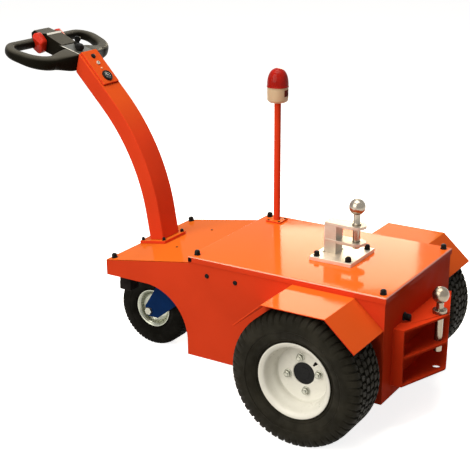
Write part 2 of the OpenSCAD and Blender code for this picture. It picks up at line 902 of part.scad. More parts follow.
caster_seat_h = 10;
caster_lip_in = 8;
caster_lip_y = caster_w / 2 - caster_lip_in;
caster_groove_w = 4;
caster_groove_d = 4;
caster_groove_pitch = 13;
caster_hub_r = 17;
caster_web_t = 4;
caster_web_in = 8;
caster_rim_t = 3;
caster_flare = 6;
caster_bead_y = caster_lip_y - caster_flare - caster_rim_t;

module caster_rim() {
    hub_half = fork_in - face_clear * 2;
    bore = caster_axle_r + run_clear;
    lip = caster_lip_y;
    seat = caster_rim_r - caster_seat_h;
    flare_r = seat - caster_rim_t;
    web_r = seat - caster_web_in;
    color(steel) about_axle(caster_x, 0, caster_r) polygon([
        [bore, -hub_half], [caster_hub_r, -hub_half], [caster_hub_r, -caster_web_t],
        [web_r, -caster_web_t], [flare_r, -lip + caster_flare],
        [caster_rim_r, -lip], [caster_rim_r, -lip + caster_rim_t], [seat, -caster_bead_y],
        [seat, caster_bead_y], [caster_rim_r, lip - caster_rim_t], [caster_rim_r, lip],
        [flare_r, lip - caster_flare], [web_r, caster_web_t],
        [caster_hub_r, caster_web_t], [caster_hub_r, hub_half], [bore, hub_half]
    ]);
}

// Half a tyre's section from the tread's middle to its bead: shoulders and walls follow a rounded curve
tyre_steps = 9;
tyre_round = 2.6;
tread_share = 0.62;
function tyre_half(seat, radius, half, bead_half) =
    let (wall = radius - seat, flat = half * tread_share, mid = seat + wall * 0.5)
    concat(
        [for (i = [0:tyre_steps])
            let (angle = 90 * i / tyre_steps)
            [mid + (radius - mid) * pow(cos(angle), 2 / tyre_round),
                flat + (half - flat) * pow(sin(angle), 2 / tyre_round)]],
        [[seat + wall * 0.34, half * 0.97], [seat + wall * 0.16, bead_half], [seat, bead_half]]
    );
function mirrored(points) = [for (point = reversed(points)) [point[0], -point[1]]];

// Grooves run round the tread at these distances from its middle
module tyre_outline(seat, radius, width, bead_half, groove_w, groove_d, grooves) {
    points = tyre_half(seat, radius, width / 2, bead_half);
    difference() {
        polygon(concat(mirrored(points), points));
        for (y = grooves) translate([radius - groove_d, y - groove_w / 2])
            square([groove_d + over, groove_w]);
    }
}

module caster_tyre() {
    color(black) about_axle(caster_x, 0, caster_r)
        tyre_outline(
            caster_rim_r - caster_seat_h + lap_clear, caster_r, caster_w, caster_bead_y - lap_clear,
            caster_groove_w, caster_groove_d, [-1.5, -0.5, 0.5, 1.5] * caster_groove_pitch
        );
}

// Drive wheels, drawn on the left side

flange_y = track_half + rim_w / 2;
disc_y = flange_y - disc_depth;
hub_flange_r = 68;
hub_flange_t = 14;
shaft_gap = 2;
// Places of the rim's bends from its flanges, and the depth of its well
seat_w = 26;
well_w = 40;
well_depth = 14;
bend = 2;
stud_hole_r = 6.5;
nut_turn = 11;
groove_w = 6;
groove_d = 6;
groove_pitch = 24;

module hub() {
    translate([axle_x, 0, tyre_r]) rotate([90, 0, 0]) union() {
        translate([0, 0, disc_y - rim_t - hub_flange_t]) cylinder(r = hub_flange_r, h = hub_flange_t);
        translate([0, 0, case_w / 2 + shaft_gap])
            cylinder(r = shaft_r, h = disc_y - case_w / 2 - 2 * shaft_gap);
    }
}

module rim() {
    half = rim_w / 2;
    drop_r = rim_seat_r - well_depth;
    seat_in_r = rim_seat_r - rim_t;
    well_in_r = drop_r - rim_t;
    dy = disc_y - track_half;
    flange_r = rim_seat_r + rim_flange_h;
    difference() {
        mirror([0, 1, 0]) about_axle(axle_x, track_half, tyre_r) polygon([
            [flange_r, half], [flange_r, half - rim_t],
            [rim_seat_r, half - rim_t * 2], [rim_seat_r, half - seat_w],
            [drop_r, half - well_w], [drop_r, -half + well_w],
            [rim_seat_r, -half + seat_w], [rim_seat_r, -half + rim_t * 2],
            [flange_r, -half + rim_t], [flange_r, -half],
            [seat_in_r, -half + rim_t], [seat_in_r, -half + seat_w + bend],
            [well_in_r, -half + well_w + bend], [well_in_r, dy - rim_t],
            [disc_hole_r, dy - rim_t], [disc_hole_r, dy],
            [well_in_r, dy], [well_in_r, half - well_w - bend],
            [seat_in_r, half - seat_w - bend], [seat_in_r, half - rim_t]
        ]);
        for (i = [0:nut_count - 1]) translate([axle_x, -disc_y - over, tyre_r])
            rotate([0, -nut_turn - i * 360 / nut_count, 0]) translate([nut_pcd / 2, 0, 0])
                rotate([-90, 0, 0]) cylinder(r = stud_hole_r, h = rim_t + 2 * over);
    }
}

module tyre() {
    mirror([0, 1, 0]) about_axle(axle_x, track_half, tyre_r)
        tyre_outline(
            rim_seat_r + lap_clear, tyre_r, tyre_w, rim_w / 2 - rim_t * 2 - lap_clear,
            groove_w, groove_d, [-2, -1, 0, 1, 2] * groove_pitch
        );
}

module hub_left() { color(charcoal) hub(); }
module rim_left() { color(cream) rim(); }
module tyre_left() { color(black) tyre(); }
module hub_right() { color(charcoal) mirror([0, 1, 0]) hub(); }
module rim_right() { color(cream) mirror([0, 1, 0]) rim(); }
module tyre_right() { color(black) mirror([0, 1, 0]) tyre(); }

side_panel_left();
side_panel_right();
nose_plate();
rear_panel();
lid();
floor_pan();
bulkhead();
battery();
transaxle();
fender_left();
fender_right();
caster_bridge();
nose_buffers();
tiller_base();
tiller_arm();
tiller_cover();
tiller_gauge();
tiller_buttons();
handle_frame();
control_box();
throttle_paddles();
head_knobs();
beacon_pole();
beacon_base();
beacon_dome();
upper_hitch_plate();
upper_hitch_bracket();
upper_hitch_ball();
rear_hitch();
rear_hitch_pin();
rear_plug();
lid_caps();
nose_caps();
hitch_caps();
tiller_caps();
caster_plate();
caster_fork();
caster_axle();
caster_rim();
caster_tyre();
hub_left();
rim_left();
tyre_left();
hub_right();
rim_right();
tyre_right();
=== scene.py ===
"""Looks of a walk-behind electric tow tractor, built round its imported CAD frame. Metres, +Z up."""

import json
import math

import bmesh
import bpy
from mathutils import Matrix, Vector


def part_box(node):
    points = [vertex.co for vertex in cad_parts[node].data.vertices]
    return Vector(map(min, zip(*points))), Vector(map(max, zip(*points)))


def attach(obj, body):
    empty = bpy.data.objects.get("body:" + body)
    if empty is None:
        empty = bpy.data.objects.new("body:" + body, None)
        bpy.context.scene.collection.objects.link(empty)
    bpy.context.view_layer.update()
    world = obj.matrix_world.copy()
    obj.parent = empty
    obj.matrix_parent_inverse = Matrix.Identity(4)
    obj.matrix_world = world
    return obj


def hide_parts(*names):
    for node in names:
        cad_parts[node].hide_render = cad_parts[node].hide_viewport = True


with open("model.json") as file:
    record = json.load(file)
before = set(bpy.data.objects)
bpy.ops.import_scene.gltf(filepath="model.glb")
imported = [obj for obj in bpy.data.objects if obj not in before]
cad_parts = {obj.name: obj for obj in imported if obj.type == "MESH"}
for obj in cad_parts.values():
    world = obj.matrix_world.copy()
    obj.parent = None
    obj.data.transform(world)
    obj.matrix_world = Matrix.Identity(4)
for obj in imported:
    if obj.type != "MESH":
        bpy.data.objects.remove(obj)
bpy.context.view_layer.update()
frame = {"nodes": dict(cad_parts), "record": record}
NODES = frame["nodes"]
BODY_OF = {node: body for body, nodes in frame["record"]["behaviour"]["bodies"].items() for node in nodes}
SLOT_OF = {row["node"]: row["material_slot"] for row in frame["record"]["subparts"]}

MM = 0.001
X, Y, Z = Vector((1, 0, 0)), Vector((0, 1, 0)), Vector((0, 0, 1))
MERGE = 2e-6
FLAT = math.radians(0.4)
CREASE = math.radians(32)
ON_AXIS = 1e-7

# Materials


class Graph:
    """One material's node tree. Keyword names are the shader's sockets, with _ for a space."""

    def __init__(self, name, **sockets):
        self.material = bpy.data.materials.new(name)
        self.material.use_nodes = True
        self.tree = self.material.node_tree
        self.shader = self.tree.nodes["Principled BSDF"]
        for key, value in sockets.items():
            self.shader.inputs[key.replace("_", " ")].default_value = value
        self.place = self.add("ShaderNodeTexCoord").outputs["Object"]

    def add(self, kind, links=None, **values):
        node = self.tree.nodes.new(kind)
        for key, value in values.items():
            if hasattr(node, key):
                setattr(node, key, value)
            else:
                node.inputs[key.replace("_", " ")].default_value = value
        for key, socket in (links or {}).items():
            self.tree.links.new(socket, node.inputs[key])
        return node

    def into(self, socket, shader_input):
        self.tree.links.new(socket, self.shader.inputs[shader_input])

    def noise(self, scale, detail=4.0, place=None):
        """Noise with `scale` grains to the metre."""
        node = self.add("ShaderNodeTexNoise", {"Vector": place or self.place}, Scale=scale, Detail=detail)
        return node.outputs["Fac"]

    def stretched(self, scale):
        return self.add("ShaderNodeMapping", {"Vector": self.place}, Scale=scale).outputs["Vector"]

    def ramp(self, fac, stops):
        node = self.add("ShaderNodeValToRGB", {"Fac": fac})
        elements = node.color_ramp.elements
        while len(elements) < len(stops):
            elements.new(0.5)
        for element, (position, colour) in zip(elements, stops):
            element.position = position
            element.color = (*colour, 1)
        return node.outputs["Color"]

    def span(self, fac, low, high, fac_low=0.3, fac_high=0.7):
        """Takes a value between fac_low and fac_high to one between low and high."""
        ends = {"From_Min": fac_low, "From_Max": fac_high, "To_Min": low, "To_Max": high}
        return self.add("ShaderNodeMapRange", {"Value": fac}, **ends).outputs["Result"]

    def bump(self, height, strength, distance):
        node = self.add("ShaderNodeBump", {"Height": height}, Strength=strength, Distance=distance)
        return node.outputs["Normal"]

    def upward(self):
        """How far the surface faces up, from -1 to 1."""
        normal = self.add("ShaderNodeTexCoord").outputs["Normal"]
        return self.add("ShaderNodeSeparateXYZ", {"Vector": normal}).outputs["Z"]

    def tint(self, colour, fac):
        """Mixes a colour into the base colour by `fac`."""
        under = self.shader.inputs["Base Color"].links[0].from_socket
        mix = self.add("ShaderNodeMixRGB", {"Fac": fac, "Color1": under}, Color2=(*colour, 1))
        self.into(mix.outputs["Color"], "Base Color")


def shades(colour, spread):
    """A darker and a lighter shade of a colour."""
    return [tuple(min(1.0, c * (1 + k * spread)) for c in colour) for k in (-1, 1)]


def coat(
    name, colour, roughness, spread=0.08, patch=9.0, grain=600.0, relief=0.15, depth=0.2 * MM, **sockets,
):
    """Graph of a paint or plastic: slow shifts of shade, uneven gloss and a fine grain."""
    g = Graph(name, **sockets)
    dark, light = shades(colour, spread)
    g.into(g.ramp(g.noise(patch), [(0.35, dark), (0.65, light)]), "Base Color")
    g.into(g.span(g.noise(patch * 5), *roughness), "Roughness")
    g.into(g.bump(g.noise(grain, 2.0), relief, depth), "Normal")
    return g


def surface(*values, **sockets):
    return coat(*values, **sockets).material


NO_GLOSS = 0.004


def powder_coat(name, colour, lit, roughness, gloss, edge_gloss=NO_GLOSS, lit_from=(0.5, 0.95)):
    """Orange paint with painted light that makes what faces up lighter, with one gloss for its flat tops and
    one for rounded edges.
    """
    g = coat(name, colour, roughness, spread=0.05, patch=5.0, grain=300.0, relief=0.04, depth=0.05 * MM)
    upward = g.upward()
    # Columns: how far the surface faces up, gloss
    stops = ((0.1, NO_GLOSS), (0.25, edge_gloss), (0.85, edge_gloss), (0.96, gloss))
    g.into(g.ramp(upward, [(up, (shine,) * 3) for up, shine in stops]), "Specular IOR Level")
    # Painted light: the lit colour is mixed in on faces that turn up
    g.tint(lit, g.span(upward, 0.0, 1.0, *lit_from))
    return g.material


def satin_plastic(name, colour, dust, roughness):
    """Moulded black plastic that shines only at a glancing angle, with a grey painted sheen on what faces up.
    """
    g = coat(name, colour, roughness, spread=0.14, patch=30.0, grain=1600.0, relief=0.3)
    facing = g.add("ShaderNodeLayerWeight", Blend=0.5).outputs["Facing"]
    g.into(g.span(facing, 0.02, 0.05, 0.3, 0.62), "Specular IOR Level")
    # The grey dust colour on what faces up is a painted sheen of light on the tops
    g.tint(dust, g.span(g.upward(), 0.0, 1.0, 0.25, 0.95))
    return g.material


def brushed(name, colour, roughness, stretch, spread=0.1):
    """Metal with the marks of brushing or turning along one direction."""
    g = Graph(name, Metallic=1.0)
    lines = g.noise(220.0, 6.0, g.stretched(stretch))
    dark, light = shades(colour, spread)
    g.into(g.ramp(lines, [(0.3, dark), (0.7, light)]), "Base Color")
    g.into(g.span(lines, *roughness), "Roughness")
    g.into(g.bump(lines, 0.08, 0.1 * MM), "Normal")
    return g.material


def spangled(name, colour, roughness):
    """Zinc coat with its crystal flakes."""
    g = Graph(name, Metallic=0.9)
    flakes = g.add("ShaderNodeTexVoronoi", {"Vector": g.place}, Scale=160.0).outputs["Color"]
    grey = g.add("ShaderNodeRGBToBW", {"Color": flakes}).outputs["Val"]
    dark, light = shades(colour, 0.14)
    g.into(g.ramp(grey, [(0.2, dark), (0.8, light)]), "Base Color")
    g.into(g.span(grey, *roughness, 0.0, 1.0), "Roughness")
    g.into(g.bump(g.noise(900.0), 0.08, 0.1 * MM), "Normal")
    return g.material


def rubber(name, colour, dust, gloss):
    """Black rubber, a little dusty in patches."""
    g = Graph(name, Specular_IOR_Level=gloss)
    dusty = tuple(c * 2.2 + 0.006 for c in colour)
    g.into(g.ramp(g.noise(14.0, 8.0), [(0.5 - dust, colour), (0.78, dusty)]), "Base Color")
    g.into(g.span(g.noise(60.0), 0.55, 0.8), "Roughness")
    g.into(g.bump(g.noise(1400.0, 3.0), 0.25, 0.15 * MM), "Normal")
    return g.material


ORANGE = (0.645, 0.051, 0.0150)
# Deeper orange for the rear panel and rear hitch: painted shade
SHADED_REAR_ORANGE = (0.66, 0.044, 0.010)
# Lit colours: painted light mixed into the orange on what faces up
LIT_ORANGE = (0.66, 0.130, 0.014)
PAINTED_LIT_DECK_ORANGE = (0.82, 0.134, 0.016)
# Columns of surface(): name, colour, ends of the roughness, spread of the shade, patches to the metre,
# grains to the metre, relief and depth of the grain
M = {
    "orange_paint": powder_coat("powder_coat", ORANGE, LIT_ORANGE, (0.08, 0.15), NO_GLOSS),
    "black_plastic": surface(
        "black_cap_plastic", (0.008, 0.008, 0.008), (0.26, 0.4), 0.3, 60.0, 1500.0, 0.1,
        Specular_IOR_Level=0.06,
    ),
    # The second colour is a painted sheen on the handle's tops
    "handle_plastic": satin_plastic(
        "moulded_handle", (0.007, 0.0062, 0.004), (0.062, 0.058, 0.047), (0.40, 0.52),
    ),
    "red_plastic": surface(
        "red_rocker", (0.43, 0.018, 0.006), (0.22, 0.34), 0.08, 40.0, 1200.0, 0.08, Specular_IOR_Level=0.12,
    ),
    "red_lens": surface(
        "red_lens", (0.34, 0.008, 0.003), (0.06, 0.12), 0.12, 50.0, 700.0, 0.02, Transmission_Weight=0.06,
        IOR=1.45, Specular_IOR_Level=0.05, Coat_Weight=0.05, Coat_Roughness=0.03,
    ),
    "cream_plastic": surface("cream_housing", (0.53, 0.40, 0.245), (0.36, 0.48), 0.04, 40.0, 900.0, 0.08),
    "rubber": rubber("buffer_rubber", (0.006, 0.0045, 0.004), 0.02, 0.03),
    "battery_case": surface("battery_case", (0.02, 0.02, 0.022), (0.45, 0.6), 0.2, 20.0, 900.0, 0.2),
    "cast_case": surface(
        "cast_case", (0.006, 0.006, 0.006), (0.55, 0.75), 0.3, 45.0, 260.0, 0.5, 0.6 * MM,
        Specular_IOR_Level=0.15,
    ),
    "rim_paint": surface(
        "rim_enamel", (0.79, 0.78, 0.71), (0.24, 0.36), 0.04, 12.0, 380.0, 0.05, Specular_IOR_Level=0.3,
    ),
    "tyre": rubber("tyre_rubber", (0.0095, 0.0083, 0.0050), 0.06, 0.08),
    "galvanised_steel": spangled("galvanised", (0.32, 0.32, 0.27), (0.3, 0.5)),
    "navy_paint": surface(
        "blue_paint", (0.004, 0.027, 0.115), (0.3, 0.45), 0.12, 20.0, 500.0, 0.08, Specular_IOR_Level=0.02,
    ),
    "hitch_alloy": brushed("bright_zinc", (0.45, 0.395, 0.33), (0.42, 0.58), (0.15, 1.0, 1.0)),
    "chrome_steel": brushed("polished_steel", (0.30, 0.265, 0.215), (0.16, 0.28), (1.0, 1.0, 0.1), 0.06),
}
# The deck and lid coats carry painted light on what faces up
DECK_PAINT = powder_coat("deck_coat", ORANGE, PAINTED_LIT_DECK_ORANGE, (0.06, 0.12), 0.02)
LID_PAINT = powder_coat("lid_coat", ORANGE, PAINTED_LIT_DECK_ORANGE, (0.06, 0.12), 0.02, 1.0, (0.05, 0.4))
# Lighter copy of the hitch zinc for the deck hitch's plate: painted light
LIT_PLATE_ZINC = brushed("lit_plate_zinc", (0.66, 0.59, 0.49), (0.42, 0.58), (0.15, 1.0, 1.0))
# Darker copy of the polished steel for the rear pin: painted shade
SHADED_PIN_STEEL = brushed("shaded_pin_steel", (0.25, 0.21, 0.16), (0.2, 0.32), (1.0, 1.0, 0.1), 0.06)
ZINC = brushed("turned_zinc", (0.34, 0.35, 0.29), (0.2, 0.34), (1.0, 0.12, 1.0), 0.05)
# Deeper orange without gloss for the rear panel and hitch: painted shade
SHADED_REAR_PAINT = surface("matt_coat", SHADED_REAR_ORANGE, (0.45, 0.6), 0.06, 5.0, 300.0, 0.06, Specular_IOR_Level=0.01)
# Darker copy of the tyre rubber for the caster tyre: painted shade from the nose above it
SHADED_CASTER_RUBBER = rubber("shaded_caster_rubber", (0.0042, 0.0038, 0.0027), 0.02, 0.03)
# Near-black for patches of painted shade in openings
PAINTED_SHADE = surface("shadow_gap", (0.004, 0.003, 0.003), (0.6, 0.8), 0.2, Specular_IOR_Level=0.02)
# Pale print for the gauge's marks, also used for painted highlights on the handle
PALE_PRINT_AND_HIGHLIGHT = surface("blank_label", (0.86, 0.84, 0.78), (0.3, 0.45), 0.05, 60.0, 900.0, 0.05)
SATIN = brushed("satin_plate", (0.13, 0.13, 0.115), (0.34, 0.5), (1.0, 0.1, 1.0))
DIAL = surface("dial_face", (0.02, 0.02, 0.018), (0.15, 0.25), 0.15, 80.0, 900.0, 0.03)
AMBER = surface("lamp_lens", (0.75, 0.42, 0.24), (0.12, 0.2), 0.1, 90.0, 600.0, 0.02)
DARK_RED = surface(
    "dark_red_window", (0.10, 0.010, 0.005), (0.3, 0.45), 0.1, 90.0, 700.0, 0.05, Specular_IOR_Level=0.03,
)

# Building pieces


def piece(name, bm, material, body, replaces=(), bevel=0.0, segments=2):
    """Makes an object of a bmesh, with soft edges, and lets it ride on a body."""
    bmesh.ops.recalc_face_normals(bm, faces=bm.faces)
    for face in bm.faces:
        face.smooth = True
    mesh = bpy.data.meshes.new(name)
    for edge in bm.edges:
        edge.smooth = len(edge.link_faces) == 2 and edge.calc_face_angle(0.0) < CREASE
    bm.to_mesh(mesh)
    bm.free()
    obj = bpy.data.objects.new(name, mesh)
    bpy.context.scene.collection.objects.link(obj)
    mesh.materials.append(material)
    if bevel:
        soft = obj.modifiers.new("soft_edges", "BEVEL")
        soft.width = bevel
        soft.segments = segments
        soft.limit_method = "ANGLE"
        soft.angle_limit = CREASE
        soft.harden_normals = True
    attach(obj, body)
    if replaces:
        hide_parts(*replaces)


def stand_in(node, name, bm, material=None, bevel=0.0, segments=2):
    """Shows a bmesh in the place of a CAD node, on its body and in its slot."""
    slot = SLOT_OF[node]
    piece(name, bm, material or M[slot], BODY_OF[node], [node], bevel, segments)


LONG_EDGE = 30 * MM
ROLL_STEPS = 8
SIDEWAYS = 0.5


def roll_top(bm, radius):
    """Rounds the long edges round a plate's top face, as a folded sheet is."""
    bm.normal_update()
    top = max(vert.co.z for vert in bm.verts) - MERGE
    rim = [
        edge for edge in bm.edges
        if min(vert.co.z for vert in edge.verts) > top and edge.calc_length() > LONG_EDGE
        and any(face.normal.z < SIDEWAYS for face in edge.link_faces)
    ]
    bmesh.ops.bevel(
        bm, geom=rim, offset=radius, segments=ROLL_STEPS, profile=0.5, affect="EDGES", clamp_overlap=False,
    )


def dressed(node, bevel, segments=2, material=None, roll=0.0):
    """A CAD node's own shape with its facets joined and its edges rounded."""
    bm = bmesh.new()
    bm.from_mesh(NODES[node].data)
    bmesh.ops.remove_doubles(bm, verts=bm.verts, dist=MERGE)
    bmesh.ops.dissolve_limit(bm, angle_limit=FLAT, verts=bm.verts, edges=bm.edges)
    if roll:
        roll_top(bm, roll)
    stand_in(node, f"{node}_dressed", bm, material, bevel, segments)


def polygon_points(radius, sides, turn=0.0):
    angles = [math.tau * i / sides + turn for i in range(sides)]
    return [(radius * math.cos(a), radius * math.sin(a)) for a in angles]


def lathe(bm, profile, place, turns):
    """Revolves (radius, height) points about the Z axis of `place`."""
    rings = []
    for radius, height in profile:
        ring = [(0, 0)] if radius < ON_AXIS else polygon_points(radius, turns)
        rings.append([bm.verts.new(place @ Vector((x, y, height))) for x, y in ring])
    for low, high in zip(rings, rings[1:]):
        for i in range(turns):
            j = (i + 1) % turns
            corners = [low[i % len(low)], low[j % len(low)], high[j % len(high)], high[i % len(high)]]
            bm.faces.new(list(dict.fromkeys(corners)))
    return bm


def prism(bm, outline, place, height):
    """Raises a closed outline of (x, y) points by `height` along the Z axis of `place`."""
    skin(bm, [[bm.verts.new(place @ Vector((x, y, z))) for x, y in outline] for z in (0, height)])
    return bm


def axes_at(origin, x, y, z):
    """A place with its own three axes."""
    return Matrix([(x[i], y[i], z[i], origin[i]) for i in range(3)] + [(0, 0, 0, 1)])


def frame_at(origin, z_axis, x_axis=X):
    """A place with its own Z along z_axis and its X near x_axis."""
    z = Vector(z_axis).normalized()
    y = z.cross(Vector(x_axis)).normalized()
    return axes_at(origin, y.cross(z), y, z)


def raised(place, height):
    return place @ Matrix.Translation((0, 0, height))


def rounded_box(width, depth, corner, steps=5):
    """Outline of a rectangle with round corners, about its middle."""
    points = []
    for x_sign, y_sign, start in ((1, 1, 0), (-1, 1, 90), (-1, -1, 180), (1, -1, 270)):
        x, y = x_sign * (width / 2 - corner), y_sign * (depth / 2 - corner)
        for i in range(steps + 1):
            a = math.radians(start + 90 * i / steps)
            points.append((x + corner * math.cos(a), y + corner * math.sin(a)))
    return points


def bead(bm, points, radius, sides=8, ripple=0.18, step=2.2 * MM):
    """A weld bead along a line of points, with its overlapping ripples."""
    rings = []
    for start, end in zip(points, points[1:]):
        start, end = Vector(start), Vector(end)
        along = end - start
        place = frame_at(start, along, Z if abs(along.normalized().z) < 0.9 else X)
        count = max(2, int(along.length / step))
        for i in range(count + 1):
            swell = radius * (1 - ripple * (i % 2))
            at = raised(place, along.length * i / count)
            rings.append([bm.verts.new(at @ Vector((*p, 0))) for p in polygon_points(swell, sides)])
    skin(bm, rings)


def centre(node):
    low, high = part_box(node)
    return (low + high) / 2


def loose_solids(node):
    """The separate solids of a CAD node, each as its points."""
    bm = bmesh.new()
    bm.from_mesh(NODES[node].data)
    bmesh.ops.remove_doubles(bm, verts=bm.verts, dist=MERGE)
    left = set(bm.verts)
    solids = []
    while left:
        reached = [left.pop()]
        for vert in reached:
            near = {edge.other_vert(vert) for edge in vert.link_edges} & left
            left -= near
            reached.extend(near)
        solids.append([vert.co.copy() for vert in reached])
    bm.free()
    return solids


def seats(node, normal, along=X):
    """Where each solid of a CAD node stands, sorted by place: its foot's middle, with Z along `normal`."""
    turned = frame_at((0, 0, 0), normal, along)
    places = []
    for points in loose_solids(node):
        local = [turned.inverted() @ p for p in points]
        low = Vector(min(p[i] for p in local) for i in range(3))
        high = Vector(max(p[i] for p in local) for i in range(3))
        places.append(turned @ Matrix.Translation(((low.x + high.x) / 2, (low.y + high.y) / 2, low.z)))
    return sorted(places, key=lambda place: [round(v / MM) for v in place.translation])


def scaled(points):
    """Points given in millimetres."""
    return [(a * MM, b * MM) for a, b in points]


def superellipse(width, height, power, sides):
    """Points round a rectangle with full corners; a power of 2 is an ellipse."""
    points = []
    for k in range(sides):
        c, s = math.cos(math.tau * k / sides), math.sin(math.tau * k / sides)
        points.append((
            width / 2 * math.copysign(abs(c) ** (2 / power), c),
            height / 2 * math.copysign(abs(s) ** (2 / power), s),
        ))
    return points


def skin(bm, rings, closed=False):
    """Joins rings of equal count into a tube; an open one gets end faces."""
    pairs = list(zip(rings, rings[1:])) + ([(rings[-1], rings[0])] if closed else [])
    count = len(rings[0])
    for low, high in pairs:
        for i in range(count):
            j = (i + 1) % count
            bm.faces.new((low[i], low[j], high[j], high[i]))
    if not closed:
        bm.faces.new(rings[0][::-1])
        bm.faces.new(rings[-1])


# Body, fenders and plates

# Columns: CAD node, radius of its edges in mm, steps round an edge
PLATES = (
    ("side_panel_left", 0.9, 2), ("side_panel_right", 0.9, 2), ("rear_panel", 0.9, 2), ("floor_pan", 0.9, 2),
    ("bulkhead", 0.9, 2), ("caster_bridge", 0.9, 2), ("nose_plate", 1.6, 3), ("lid", 0.9, 2),
    ("fender_left", 1.2, 3), ("fender_right", 1.2, 3), ("tiller_base", 1.6, 3), ("tiller_arm", 3.0, 4),
    ("tiller_cover", 1.8, 3), ("rear_hitch", 1.4, 3), ("upper_hitch_plate", 0.9, 2),
    ("upper_hitch_bracket", 0.9, 2), ("nose_buffers", 2.0, 3), ("battery", 3.0, 2), ("transaxle", 2.0, 2),
    ("caster_plate", 0.8, 2), ("caster_fork", 1.4, 3), ("hub_left", 1.0, 2), ("hub_right", 1.0, 2),
    ("control_box", 1.2, 3), ("rear_hitch_pin", 1.0, 2), ("caster_axle", 1.0, 2), ("beacon_pole", 1.0, 2),
)
# Finishes other than the slot's own, with painted light on the lid, deck and hitch plate and painted shade on
# the rear panel, rear hitch and rear pin
FINISH = {
    "lid": LID_PAINT, "fender_left": DECK_PAINT, "rear_panel": SHADED_REAR_PAINT, "rear_hitch": SHADED_REAR_PAINT,
    "upper_hitch_plate": LIT_PLATE_ZINC, "rear_hitch_pin": SHADED_PIN_STEEL,
}
LID_ROLL = 5 * MM
for node, edge, steps in PLATES:
    dressed(node, edge * MM, steps, FINISH.get(node), LID_ROLL if node == "lid" else 0.0)

# Tyres

# Steps round one pitch of the tread, and those of them that are the gap between two blocks
ANGLE_STEPS = 8
GAP_STEPS = (5, 6)
GROOVE_WALL = 0.8 * MM
FLAT_SHARE = 0.62
BLOCK_SHARES = (0.33, 0.67)
SHOULDER_STEPS = 14
SHOULDER_POWER = 2 / 2.6
LUG_DEPTH, LUG_FADE = 0.8, 0.4
# Columns: share of the wall above the seat, share of the half width
SIDEWALL = (
    (0.485, 0.975), (0.46, 0.968), (0.45, 0.974), (0.38, 0.958), (0.30, 0.92), (0.24, 0.86), (0.22, 0.875),
    (0.18, 0.80),
)
BEAD_SHARE = 0.12


def half_tread(half, grooves, groove, depth):
    """Columns of half a tread from its middle: width, depth below the surface, row of blocks or None."""
    flat = FLAT_SHARE * half
    columns = []
    for number, middle in enumerate(grooves):
        low, high = middle - groove / 2, middle + groove / 2
        if low > 0:
            columns.append((low, 0.0, number - 1))
            columns.append((low + GROOVE_WALL, depth, None))
        columns.append((high - GROOVE_WALL, depth, None))
        columns.append((high, 0.0, number))
        top = grooves[number + 1] - groove / 2 if number + 1 < len(grooves) else flat
        columns += [(high + (top - high) * f, 0.0, number) for f in BLOCK_SHARES]
    return columns, flat


def tyre_columns(radius, half, seat, bead_half, grooves, groove, depth, lug_reach):
    """Columns of half a tyre from the middle of its tread to its bead: width, radius, gap depth, row."""
    tread, flat = half_tread(half, grooves, groove, depth)
    columns = [(w, radius - d, depth - d, row) for w, d, row in tread]
    wall = radius - seat
    mid = seat + wall / 2
    last = len(grooves) - 1
    for i in range(1, SHOULDER_STEPS + 1):
        a = math.pi / 2 * i / SHOULDER_STEPS
        r = mid + (radius - mid) * math.cos(a) ** SHOULDER_POWER
        w = flat + (half - flat) * math.sin(a) ** SHOULDER_POWER
        fade = max(0.0, min(1.0, (r - radius + lug_reach) / (LUG_FADE * lug_reach)))
        columns.append((w, r, LUG_DEPTH * depth * fade, last))
    for up, out in SIDEWALL:
        columns.append((max(bead_half, out * half), seat + up * wall, 0.0, None))
    columns.append((bead_half, seat + BEAD_SHARE * wall, 0.0, None))
    columns.append((bead_half, seat, 0.0, None))
    return columns


def add_tyre(node, material, pitches, slant, radius, half, grooves, depth, **sizes):
    """Pneumatic tyre with staggered rows of blocks and lugs that run down its shoulders."""
    right = tyre_columns(radius, half, grooves=grooves, depth=depth, **sizes)
    left = [(-w, r, gap, row) for w, r, gap, row in right][::-1]
    if grooves[0] > 0:
        right = [(0.0, radius, depth, -1)] + right
    columns = left + right
    middle = centre(node)
    steps = pitches * ANGLE_STEPS
    bm = bmesh.new()
    rings = []
    for w, r, gap, row in columns:
        shift = slant * abs(w) / half * math.tau / pitches
        stagger = ANGLE_STEPS // 2 if row is not None and row % 2 else 0
        ring = []
        for k in range(steps):
            a = math.tau * k / steps + shift
            in_gap = (k + stagger) % ANGLE_STEPS in GAP_STEPS
            here = r - gap if in_gap else r
            ring.append(bm.verts.new(middle + Vector((here * math.cos(a), w, here * math.sin(a)))))
        rings.append(ring)
    skin(bm, rings, closed=True)
    stand_in(node, f"{node}_treaded", bm, material)


for side in ("left", "right"):
    add_tyre(
        f"tyre_{side}", M["tyre"], pitches=54, slant=0.7, radius=206 * MM, half=81 * MM, seat=101.9 * MM,
        bead_half=61.7 * MM, grooves=[0, 24 * MM, 48 * MM], groove=6 * MM, depth=7 * MM, lug_reach=35 * MM,
    )
add_tyre(
    "caster_tyre", SHADED_CASTER_RUBBER, pitches=60, slant=0.6, radius=130 * MM, half=42.5 * MM, seat=56.3 * MM,
    bead_half=25.2 * MM, grooves=[6.5 * MM, 19.5 * MM], groove=4 * MM, depth=4 * MM, lug_reach=17 * MM,
)

# Rims, wheel nuts and valves

